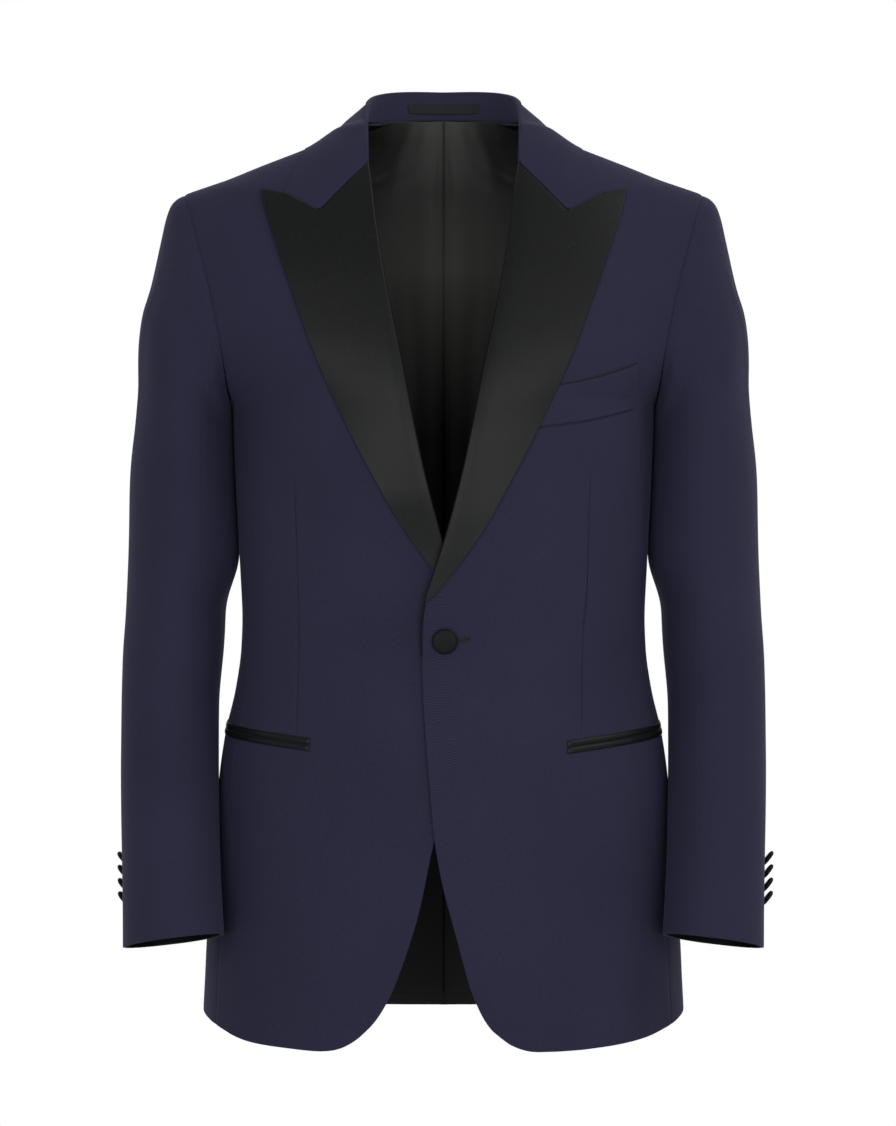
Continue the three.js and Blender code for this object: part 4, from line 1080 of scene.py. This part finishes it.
def cuff_lining(word, side):
    w = np.array([1.84, 1.88, 1.92, 1.95, 1.968, 1.976])[:, None]
    angle = np.linspace(0, -360, 61)[None, :]
    w, angle = np.broadcast_arrays(w, angle)
    cells = sleeve_at(angle, w)
    grid = cells - sleeve_normal(angle, w) * (CLOTH + 0.7)
    grid[:, -1] = grid[:, 0]
    return lay_cloth(
        f"lining_of_cuff_{word}", grid, cut_threads(grid), LINING, [viscose], side, ring=True
    )


cuff_linings = [cuff_lining(word, side) for word, side in SIDES]
print("cuff linings:", [p.name for p in cuff_linings])

# %% [markdown]
# ## The lapels
#
# A lapel isn't creased along its line but rolls over it, because the canvas inside is springy. The
# fold is a half oval 4.6 mm deep. Half way down, the leaf stands off the front in a soft swell that is
# highest near the fold and dies out towards the edge.

# %% Peak lapels
TOP_CORNERS = [face_at(*at) for at in (GORGE, NOTCH, COLLAR_POINT, PEAK)]
NOTCH_SHARE, POINT_SHARE = 0.5, 0.82
TOP_LEGS = [0, NOTCH_SHARE, POINT_SHARE, 1]
FOLD_ANGLES = np.linspace(90, -90, 15)


def top_line(shares):
    line = np.stack([np.interp(shares, TOP_LEGS, [c[k] for c in TOP_CORNERS]) for k in range(3)], -1)
    return settle(line)


def fold_over(crest, up, out, degrees):
    t = np.radians(degrees)[None, :, None]
    centre = (crest - up * ROLL * FLAT)[:, None]
    return centre + up[:, None] * ROLL * FLAT * np.cos(t) - out[:, None] * ROLL * np.sin(t)


def lapel(word, side):
    v = spaced(84, 400)
    across = spaced(30, 95, start=False)
    across = np.unique(np.concatenate([across, [NOTCH_SHARE, POINT_SHARE]]))
    roll = roll_line(v)
    roll = face_at(roll[:, 0], roll[:, 2])
    edge = smooth_line(on_front(LAPEL_EDGE))(v)
    edge = face_at(edge[:, 0], edge[:, 2])
    m, n = inward_from(roll), outward(roll)
    start = settle(roll + m * ROLL)
    top = top_line(across)
    top[0] = start[0]
    foot = settle(start[-1] + (edge[-1] - start[-1]) * across[:, None])
    cells = settle(patch(top, foot, start, edge, across, v))
    crest = roll + n * (lift_of(roll, side) - 0.1)[:, None]
    fold = fold_over(crest, -m, n, FOLD_ANGLES)
    leaf = cells[:, 1:]
    span = walked(cells, 1)[:, 1:]
    wide = span[:, -1:]
    swell_by = 3.2 * np.sin(math.pi * ease(v))[:, None] ** 1.2
    belly = swell_by * np.exp(-span / 20) * (1 - np.exp(-span / 7)) * ease(wide / 30)
    lift = lift_of(leaf, side) + LAPEL_REST + SATIN - 0.3 * np.exp(-span / 4) + belly
    lying = leaf + outward(leaf) * lift[..., None]
    tuck = fold[:, :1] + m[:, None] * 0.5
    grid = np.concatenate([tuck, fold, lying], 1)
    grid[0, :, 2] -= 0.1
    under_collar = 1 - ease((across[1:] - 0.46) / 0.05)
    share = np.concatenate([np.ones(len(FOLD_ANGLES) + 1), under_collar])
    grid = grid + facing(grid) * (sink(grid, "top", 0.5, 2.5) * share)[..., None]
    return lay_cloth(f"satin_lapel_{word}", grid, cut_threads(grid), SATIN, [satin], side)


lapels = [lapel(word, side) for word, side in SIDES]
print("lapels:", [p.name for p in lapels])

# %% [markdown]
# ## The collar
#
# The collar is one strip: a stand inside the neck, a fold over its top, and a leaf that lies on the
# shoulders and ends at the notch. It is made for half the neck and mirrored across the middle, so the
# centre back has no seam. The leaf's free edge is pressed about a millimetre into the shoulder, so
# that no light shows under it.

# %% Collar
COLLAR_FOLD = table(
    "x y z",
    (0, 84, 42.5), (28, 80.5, 42.5), (46, 71, 40.5), (57, 56, 36.5), (61.5, 38, 31),
    (62.8, 18, 25), (62.8, 0, 17), (62.4, -20, 6), (62, -38, -8), (61.5, -50, -20),
)
COLLAR_EDGE = table(
    "x z side",
    (0, -5, 1), (38, -6, 1), (72, -10, 1), (97, -14.5, 1), (109, -16.5, 1), (115.5, -19.5, -1),
    (121, -33, -1),
)


def push_out(p, by):
    for _ in range(5):
        g = slope_at(p)
        size = np.linalg.norm(g, axis=-1)
        short = np.clip(by - level(p) / size, 0, 8)
        p = p + g / size[..., None] * short[..., None]
    return p


def without(v, tangent):
    return v - tangent * (v * tangent).sum(-1, keepdims=True)


def collar_half(v, leaf):
    gorge = face_at(*GORGE)
    up_start, out_start = -roll_inward[0], outward(gorge)
    crest_rows = rows_of(COLLAR_FOLD, "x", "y", "z")[::-1]
    crest = smooth_line([gorge - 0.1 * out_start, *crest_rows])(v)
    edge_rows = face_at(COLLAR_EDGE["x"], COLLAR_EDGE["z"], COLLAR_EDGE["side"])[::-1]
    edge = settle(smooth_line([face_at(*COLLAR_POINT), *edge_rows])(v))
    neck_start = settle(gorge + up_start * (-ROLL - 0.5))
    neck_rows = list(face_at(NECKLINE["x"], NECKLINE["z"], 1))[::-1]
    foot = smooth_line([neck_start, *on_front(NECK_FRONT)[::-1], NECK_POINT, *neck_rows])(v)
    tangent = unit(np.gradient(crest, axis=0))
    tangent[-1] = (-1, 0, 0)

    def lie(t):
        t = np.atleast_1d(t)
        end = face_at(*COLLAR_POINT)
        bend = top_line(POINT_SHARE * t) - (gorge + (end - gorge) * t[:, None])
        p = crest[:, None] + (edge - crest)[:, None] * t[None, :, None]
        p = p + bend[None] * ((1 - v) ** 3)[:, None, None]
        belly = LEAF_BELLY * np.sin(math.pi * t)[None, :] * ease(v / 0.3)[:, None]
        rest = LEAF_REST * (1 - 2.3 * ease((t - 0.6) / 0.4))[None, :]
        return push_out(p + outward(p) * belly[..., None], rest + COLLAR)

    axis = unit(foot * np.array([-1, -1, 0]))
    stand = foot + axis + np.array([0, 0, 0.5])
    leaf_way = unit(lie(0.3)[:, 0] - crest)
    up = unit(without(-(leaf_way + unit(stand - crest)), tangent))
    out = unit(without(without(leaf_way, up), tangent))
    near = ease(v / 0.2)[:, None]
    up = unit(up_start + (up - up_start) * near)
    out = unit(without(out_start + (out - out_start) * near, up))
    fold = fold_over(crest, up, out, FOLD_ANGLES)
    low = fold[:, 0] - up * 0.5
    low = low + (stand - low) * ease(v / 0.25)[:, None]
    rise = np.linspace(0, 1, 9)[None, :-1, None]
    band = low[:, None] + (fold[:, :1] - low[:, None]) * rise
    return np.concatenate([band, fold, lie(leaf)], 1)


half = collar_half(spaced(64, 260, end=False), np.unique([0.06, *spaced(16, 70)[2:]]))
half[-1, :, 0] = 0
collar_grid = np.concatenate([half[:-1] * np.array([-1, 1, 1]), half[::-1]])
collar_grid = collar_grid + facing(collar_grid) * sink(collar_grid, "top bottom", 0.35, 2.2)[..., None]
lay_cloth("cloth_collar", collar_grid, cut_threads(collar_grid), COLLAR, [wool])
print("collar grid:", collar_grid.shape)

# %% Hanger tab inside the collar
# A plain ribbon, 60 mm by 8 mm, sewn flat on the stand at both ends.
TAB_REACH = 30
TAB_LEVELS = (31.2, 29.8, 27, 24.4, 23)


def tab():
    x = np.linspace(-TAB_REACH, TAB_REACH, 25)
    middle = len(collar_grid) // 2
    stand = collar_grid[:, 3:5].mean(1)
    near = stand[middle - 20 : middle + 21]
    line = near[np.argsort(near[:, 0])]
    y = np.interp(x, line[:, 0], line[:, 1])
    bow = 0.5 * (1 - (x / TAB_REACH) ** 2)
    grid = np.array([point(x, y - 1.1 - bow, z) for z in TAB_LEVELS])
    return lay_cloth("ribbon_hanger_tab", grid, cut_threads(grid), RIBBON, [tab_ribbon])


tab()
print("hanger tab:", [round(v * 1000) for v in cloth_sizes["ribbon_hanger_tab"][:2]], "mm")

# %% [markdown]
# ## Pockets
#
# Each hip pocket is a straight slot between two narrow satin jets. The breast pocket is a curved welt
# of the jacket's own cloth, open along its top.

# %% Satin jets
POCKETS = {
    "right": dict(side=-1, front=(108, -507), back=(176, -498), end=(14, -495)),
    "left": dict(side=1, front=(100, -509), back=(175, -498.5), end=(14, -495.5)),
}
JET = 0.7
JET_TALL = 5.4


def jet(word, upper):
    pocket = POCKETS[word]
    (x0, z0), (x1, z1) = pocket["front"], pocket["back"]
    points = [face_at(x0, z0), face_at(x0 + 0.55 * (x1 - x0), (z0 + z1) / 2), face_at(x1, z1)]
    along_it = spaced(40, 125)
    line = settle(smooth_line([*points, flank_at(*pocket["end"])])(along_it))
    sign = 1 if upper else -1
    share = np.linspace(0, 1, 9)[:, None]
    tall = 0.15 + JET_TALL * (1 - share if upper else share)
    cells = np.broadcast_to(line[None], (9, *line.shape)).copy()
    cells[..., 2] += sign * tall
    cells = settle(cells)
    roll = np.sin(math.pi * np.clip(share, 0.02, 0.98)) ** 0.55
    gone = walked(cells, 1)
    ends = np.clip(np.minimum(gone, gone[:, -1:] - gone) / 2, 0, 1)
    flat = 1 - 0.65 * ease((along_it[None, :] - 0.6) / 0.3)
    lift = 0.3 + 1.5 * roll * (0.35 + 0.65 * ends) * flat
    grid = cells + outward(cells) * lift[..., None]
    name = f"satin_jet_{'upper' if upper else 'lower'}_{word}"
    return lay_cloth(name, grid, cut_threads(grid), JET, [satin], pocket["side"])


jets = [jet(word, upper) for word in POCKETS for upper in (True, False)]
print("jets:", [p.name for p in jets])

# %% Breast welt
WELT_TOP = table("x z", (90, -217.4), (127, -209), (158.8, -197.5))
WELT_LOW = table("x z", (73, -251.4), (118, -244.5), (156, -233.8))


def welt():
    u, v = spaced(36, 68)[None, :, None], spaced(18, 35)[:, None, None]
    top = smooth_line(on_front(WELT_TOP))(u[0, :, 0])[None]
    low = smooth_line(on_front(WELT_LOW))(u[0, :, 0])[None]
    cells = settle(top + (low - top) * v)
    lift = 1.7 + sink(cells, "top bottom", 1.5, 1.1) + sink(cells, "left right", 1.0, 2.0)
    grid = cells + outward(cells) * lift[..., None]
    return lay_cloth("cloth_breast_welt", grid, body_threads(cells), WELT, [wool])


welt()
print("welt:", [round(v * 1000) for v in cloth_sizes["cloth_breast_welt"][:2]], "mm")

# %% [markdown]
# ## Covered buttons
#
# A covered button is a domed metal mould with satin drawn tight over it and tucked in behind. Turning
# a short outline round an axis with `bmesh.ops.spin` gives the dome and the tucked edge.

# %% Buttons
FRONT_WIDE, FRONT_THICK = 20.8, 3.4
CUFF_WIDE, CUFF_THICK = 14.5, 4.2
CUFF_LEVELS = (-597.9, -607.9, -617.9, -627.9)
CUFF_ANGLE = {"left": 345.0, "right": 334.0}
CUFF_TILT = math.radians(34)


def covered_button(name, seat, axis, across, wide, thick):
    r = wide / 2
    outline = [
        (0, 0), (r * 0.55, 0.1), (r * 0.86, 0.35), (r * 0.98, thick * 0.3), (r, thick * 0.48),
        (r * 0.975, thick * 0.66), (r * 0.9, thick * 0.82), (r * 0.74, thick * 0.93),
        (r * 0.45, thick * 0.985), (0, thick),
    ]
    bm = bmesh.new()
    verts = [bm.verts.new((a * MM, 0, b * MM)) for a, b in outline]
    edges = [bm.edges.new(pair) for pair in zip(verts[:-1], verts[1:])]
    bmesh.ops.spin(
        bm, geom=verts + edges, cent=(0, 0, 0), axis=(0, 0, 1), dvec=(0, 0, 0),
        angle=math.tau, steps=40, use_merge=True,
    )
    bmesh.ops.remove_doubles(bm, verts=bm.verts, dist=SAME_PLACE)
    bmesh.ops.recalc_face_normals(bm, faces=bm.faces)
    for face in bm.faces:
        face.smooth = True
    z = Vector(axis).normalized()
    x = (Vector(across) - z * z.dot(Vector(across))).normalized()
    turn = Matrix((x, z.cross(x), z)).transposed().to_4x4()
    turn.translation = Vector(seat) * MM
    bmesh.ops.transform(bm, matrix=turn, verts=bm.verts)
    piece = finished_piece(name, bm, [cover_silk])
    soften(piece, "soft dome")
    return piece


seat = face_at(1.2, -423)
axis = outward(seat)
button_seat = seat + axis * (float(lift_of(seat[None], 1)[0]) + 0.5)
covered_button("button_front_covered", button_seat, axis, (1, 0, 0), FRONT_WIDE, FRONT_THICK)


def cuff_button(word, side, number, z):
    w = 1 + (z - SLEEVE_TOP) / (SLEEVE_END - SLEEVE_TOP)
    turn = CUFF_ANGLE[word]
    place = sleeve_at(turn, w)
    n = sleeve_normal(np.array(turn), np.array(w))
    down = unit(sleeve_at(turn, w + 0.01) - place)
    tilted = n * math.cos(CUFF_TILT) + down * math.sin(CUFF_TILT)
    place = place + n * ((CUFF_WIDE / 2 - 1.6) * math.sin(CUFF_TILT) + 0.15)
    flip = np.array([side, 1, 1])
    across = np.cross(tilted, down) * flip
    name = f"button_cuff_{word}_{number}"
    return covered_button(name, place * flip, tilted * flip, across, CUFF_WIDE, CUFF_THICK)


for word, side in SIDES:
    for number, z in enumerate(CUFF_LEVELS, 1):
        cuff_button(word, side, number, z)
print("cuff buttons:", 2 * len(CUFF_LEVELS))

# %% [markdown]
# ## Buttonholes, painted shade lines and the piped edge
#
# A worked buttonhole is a slit whose edges are covered with silk twist. From a little way off it reads
# as a raised, ribbed rim. The dark lines in the dart grooves, along the welt's lower seam, at the welt's
# mouth and under the collar at the notch are fine tubes too: painted shade and painted shadow, dark
# tubes laid where the grooves and gaps fall into shade. The satin that shows as a piped edge on the
# front below the lapel is a fine tube as well. One helper bends a grid round a line, closed into a ring
# or filled at both ends.

# %% Tubes of twist, painted shade and piping


def bent_tube(name, line, up, out, radius, around, tube_finish, side=1, closed=False):
    t = np.linspace(0, math.tau, around + 1)[None, :]
    ring = up[:, None] * np.sin(t)[..., None] + out[:, None] * np.cos(t)[..., None]
    grid = line[:, None] + ring * radius[:, None, None]
    if closed:
        grid = np.concatenate([grid, grid[:1]])
    bm = bmesh.new()
    place_grid(bm, grid, side)
    bmesh.ops.remove_doubles(bm, verts=bm.verts, dist=SAME_PLACE)
    if not closed:
        bmesh.ops.holes_fill(bm, edges=bm.edges, sides=0)
    bmesh.ops.recalc_face_normals(bm, faces=bm.faces)
    for face in bm.faces:
        face.smooth = True
    return finished_piece(name, bm, [tube_finish])


# %% Worked buttonholes
RIBS = 46
HOLE_STEPS = 160


def worked_hole(name, start, end, wide, rest, bead):
    start, end = face_at(*start), face_at(*end)
    centre, run, length = (start + end) / 2, unit(end - start), np.linalg.norm(end - start)
    n = outward(centre)
    over = unit(np.cross(n, run))
    u = np.linspace(0, math.tau, HOLE_STEPS + 1)[:-1]
    along_it = length / 2 * np.clip(np.cos(u) * 1.25, -1, 1)
    beside = wide / 2 * np.sign(np.sin(u)) * np.abs(np.sin(u)) ** 0.5
    line = settle(centre + run * along_it[:, None] + over * beside[:, None])
    line = line + outward(line) * (lift_of(line, 1) + rest)[:, None]
    forward = unit(np.roll(line, -1, 0) - np.roll(line, 1, 0))
    up = unit(without(np.broadcast_to(n, forward.shape), forward))
    ribbed = bead * (1 + 0.16 * np.cos(u * RIBS))
    return bent_tube(
        name, line, up, np.cross(forward, up), ribbed, 10, black_twist_and_shade, closed=True
    )


buttonholes = [
    worked_hole("twist_front_buttonhole", (3, -422.6), (20.8, -421.2), 2.2, 0.5, 0.55),
    worked_hole(
        "twist_lapel_buttonhole", (100.5, -105.3), (119.6, -95.5), 1.4, LAPEL_REST + SATIN + 0.1, 0.42
    ),
]
print("buttonholes:", [p.name for p in buttonholes])

# %% Painted shade lines and the piped edge
TUBE_STEPS = 60
WELT_MOUTH = table("x z", (90, -217), (127, -208.6), (158.8, -197.1))
WELT_SEAM = table("x z", (73, -251.8), (118, -244.9), (156, -234.2))
NOTCH_FOLD = table("x z", NOTCH, (116, -65.8), COLLAR_POINT)
PIPED_EDGE = table("x z", (-14.7, -390), (-16.6, -404), (-17.5, -421), (-17.2, -436))


# Lays a thin tube along a line on the front. It makes both the painted shade and shadow lines in grooves
# and gaps, and the satin piping.
def line_tube_on_front(name, points, radius, lift, side, tube_finish):
    line = settle(smooth_line(on_front(points))(np.linspace(0, 1, TUBE_STEPS + 1)))
    line = line + outward(line) * (lift_of(line, side) + lift)[:, None]
    forward = unit(np.gradient(line, axis=0))
    out = unit(np.cross(forward, outward(line)))
    steps = np.arange(TUBE_STEPS + 1)
    taper = radius * np.minimum(1, 0.15 + np.minimum(steps, steps[::-1]) / 6)
    return bent_tube(name, line, np.cross(out, forward), out, taper, 8, tube_finish, side)


# Painted shadow: black tubes along the collar's lower edge at the notch, where the gap falls into
# shadow.
notch_shadows = [(f"painted_shadow_notch_{word}", NOTCH_FOLD, 0.5, 2.1, side, black_twist_and_shade) for word, side in SIDES]
# Painted shade: navy tubes sunk into the dart grooves darken them.
dart_shade_lines = [(f"painted_shade_dart_{word}", DART[side], 0.4, -0.45, side, navy_painted_seam_shade) for word, side in SIDES]
SHADE_LINES_AND_PIPING = [
    # Painted shadow: a black tube along the welt's mouth, where the pocket opening falls into shadow.
    ("painted_shadow_welt_mouth", WELT_MOUTH, 0.5, 0.25, 1, black_twist_and_shade),
    # Painted shade: a navy tube darkens the welt's lower seam.
    ("painted_shade_welt_seam", WELT_SEAM, 0.45, 0.2, 1, navy_painted_seam_shade),
    *notch_shadows,
    ("satin_front_edge", PIPED_EDGE, 0.8, 0.2, 1, cover_silk),
    *dart_shade_lines,
]
# Painted shade and shadow lines, and the satin piping.
shade_lines_and_piping = [line_tube_on_front(*row) for row in SHADE_LINES_AND_PIPING]
print("painted shade lines and piping:", len(shade_lines_and_piping))

# %% [markdown]
# ## Joining the pieces to the jacket
#
# The jacket is one body. Each piece here stands for the solid of the same part and rides on that
# body, and the size each panel of cloth was cut to is printed.

# %% Pieces on the body and the solids they stand for
STANDS_FOR = {
    "cloth_front_left": ("front_left", "wool_cloth"),
    "cloth_front_right": ("front_right", "wool_cloth"),
    "satin_lapel_left": ("lapel_left", "satin_facing"),
    "satin_lapel_right": ("lapel_right", "satin_facing"),
    "cloth_collar": ("collar", "collar_cloth"),
    "ribbon_hanger_tab": ("hanger_loop", "hanger_loop"),
    "cloth_breast_welt": ("breast_welt", "wool_cloth"),
    "button_front_covered": ("button_front", "covered_button"),
}
for word, side in SIDES:
    for part in ("side", "back", "top_sleeve", "under_sleeve"):
        STANDS_FOR[f"cloth_{part}_{word}"] = (f"{part}_{word}", "wool_cloth")
    for part in ("jet_upper", "jet_lower"):
        STANDS_FOR[f"satin_{part}_{word}"] = (f"{part}_{word}", "satin_facing")
    STANDS_FOR[f"lining_of_back_{word}"] = (f"lining_back_{word}", "lining")
    STANDS_FOR[f"lining_of_cuff_{word}"] = (f"sleeve_lining_{word}", "lining")
    for i in range(1, len(CUFF_LEVELS) + 1):
        STANDS_FOR[f"button_cuff_{word}_{i}"] = (f"cuff_button_{word}_{i}", "covered_button")

for name, (node, slot) in STANDS_FOR.items():
    piece = bpy.data.objects[name]
    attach(piece, "root")
    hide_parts(node)
for piece in (*buttonholes, *shade_lines_and_piping):
    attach(piece, "root")
for name, (wide, long, area) in sorted(cloth_sizes.items()):
    wide, long = round(wide, 4), max(round(long, 4), 0.01)
    piece = bpy.data.objects[name]
    print(f"{name}: {wide * 1000:.0f} by {long * 1000:.0f} mm, {area * 1e4:.0f} cm2")

# %% [markdown]
# ## Light, floor and camera
#
# A clothes photograph is lit softly from all round, so that black cloth keeps its shape. The world is
# white level with the eye and greyer overhead and underfoot, as in a studio with a curved white wall.
# The room in front of the jacket is half as bright as that wall. Two large soft lamps beside the
# camera give the lapels their sheen, and a high one lights a shoulder. The camera stands level with
# the waist, far enough away that the jacket shows almost without perspective.

# %% World and lamps
WAIST_LEVEL = -0.36
HEIGHT_STOPS = ((0.2, 0.45), (0.4, 1), (0.62, 1), (0.85, 0.7))
DEPTH_STOPS = ((0.3, 0.5), (0.6, 1), (0.8, 1.0))
world = bpy.data.worlds.new("pale studio")
bpy.context.scene.world = world
world.use_nodes = True
sky = world.node_tree
heading = add(sky, "ShaderNodeTexCoord").outputs["Generated"]
way = add(sky, "ShaderNodeSeparateXYZ", {0: heading})
paleness = []
for axis, stops in (("Z", HEIGHT_STOPS), ("Y", DEPTH_STOPS)):
    share = add(sky, "ShaderNodeMapRange", {"Value": way.outputs[axis], "From Min": -1, "From Max": 1})
    ramp = add(sky, "ShaderNodeValToRGB", {0: share.outputs[0]})
    for place, shade in stops:
        ramp.color_ramp.elements.new(place).color = (shade,) * 3 + (1,)
    ramp.color_ramp.elements[0].color = (stops[0][1],) * 3 + (1,)
    ramp.color_ramp.elements[-1].color = (stops[-1][1],) * 3 + (1,)
    paleness.append(ramp.outputs[0])
both = add(sky, "ShaderNodeMath", {0: paleness[0], 1: paleness[1]}, operation="MULTIPLY")
sky.links.new(both.outputs[0], sky.nodes["Background"].inputs["Color"])
sky.nodes["Background"].inputs["Strength"].default_value = 1.0


def soft_lamp(name, place, size, power, aim=(0, 0, WAIST_LEVEL)):
    data = bpy.data.lights.new(name, "AREA")
    data.shape = "RECTANGLE"
    data.size, data.size_y = size
    data.energy = power
    lamp = bpy.data.objects.new(name, data)
    bpy.context.scene.collection.objects.link(lamp)
    lamp.location = place
    way = Vector(aim) - Vector(place)
    lamp.rotation_euler = way.to_track_quat("-Z", "Y").to_euler()
    return lamp


soft_lamp("left lamp", (-1.0, -2.8, -0.1), (1.4, 1.8), 33)
soft_lamp("right lamp", (1.0, -2.8, -0.1), (1.4, 1.8), 32)
soft_lamp("high lamp", (1.9, -0.9, 1.9), (1.2, 1.2), 27)

# %% Floor and camera
# The floor is matt white paper, two close greys mixed by a wide, faint cloud.
FLOOR_RADIUS, FLOOR_LEVEL = 4.0, -1.5
CAMERA_ACROSS, CAMERA_AWAY = 0.00375, 3.3
paper, paper_tree, paper_shader = new_finish("matt white paper floor")
paper_noise = add(paper_tree, "ShaderNodeTexNoise", {"Scale": 3})
paper_ramp = add(paper_tree, "ShaderNodeValToRGB", {0: paper_noise.outputs[0]})
paper_ramp.color_ramp.elements[0].color = linear("#cfcfcf")
paper_ramp.color_ramp.elements[1].color = linear("#d6d6d6")
paper_tree.links.new(paper_ramp.outputs[0], paper_shader.inputs["Base Color"])
paper_shader.inputs["Roughness"].default_value = 1.0
bm = bmesh.new()
bmesh.ops.create_circle(bm, cap_ends=True, segments=96, radius=FLOOR_RADIUS)
bmesh.ops.translate(bm, verts=bm.verts, vec=(0, 0, FLOOR_LEVEL))
finished_piece("pale floor", bm, [paper])

camera_data = bpy.data.cameras.new("catalogue camera")
camera_data.sensor_width = 36
camera_data.lens = 126.5
camera_data.clip_end = 50
camera = bpy.data.objects.new("catalogue camera", camera_data)
bpy.context.scene.collection.objects.link(camera)
camera.location = (CAMERA_ACROSS, -CAMERA_AWAY, WAIST_LEVEL)
camera.rotation_euler = (math.radians(90), 0, 0)
bpy.context.scene.camera = camera
bpy.context.scene.view_settings.view_transform = "Standard"
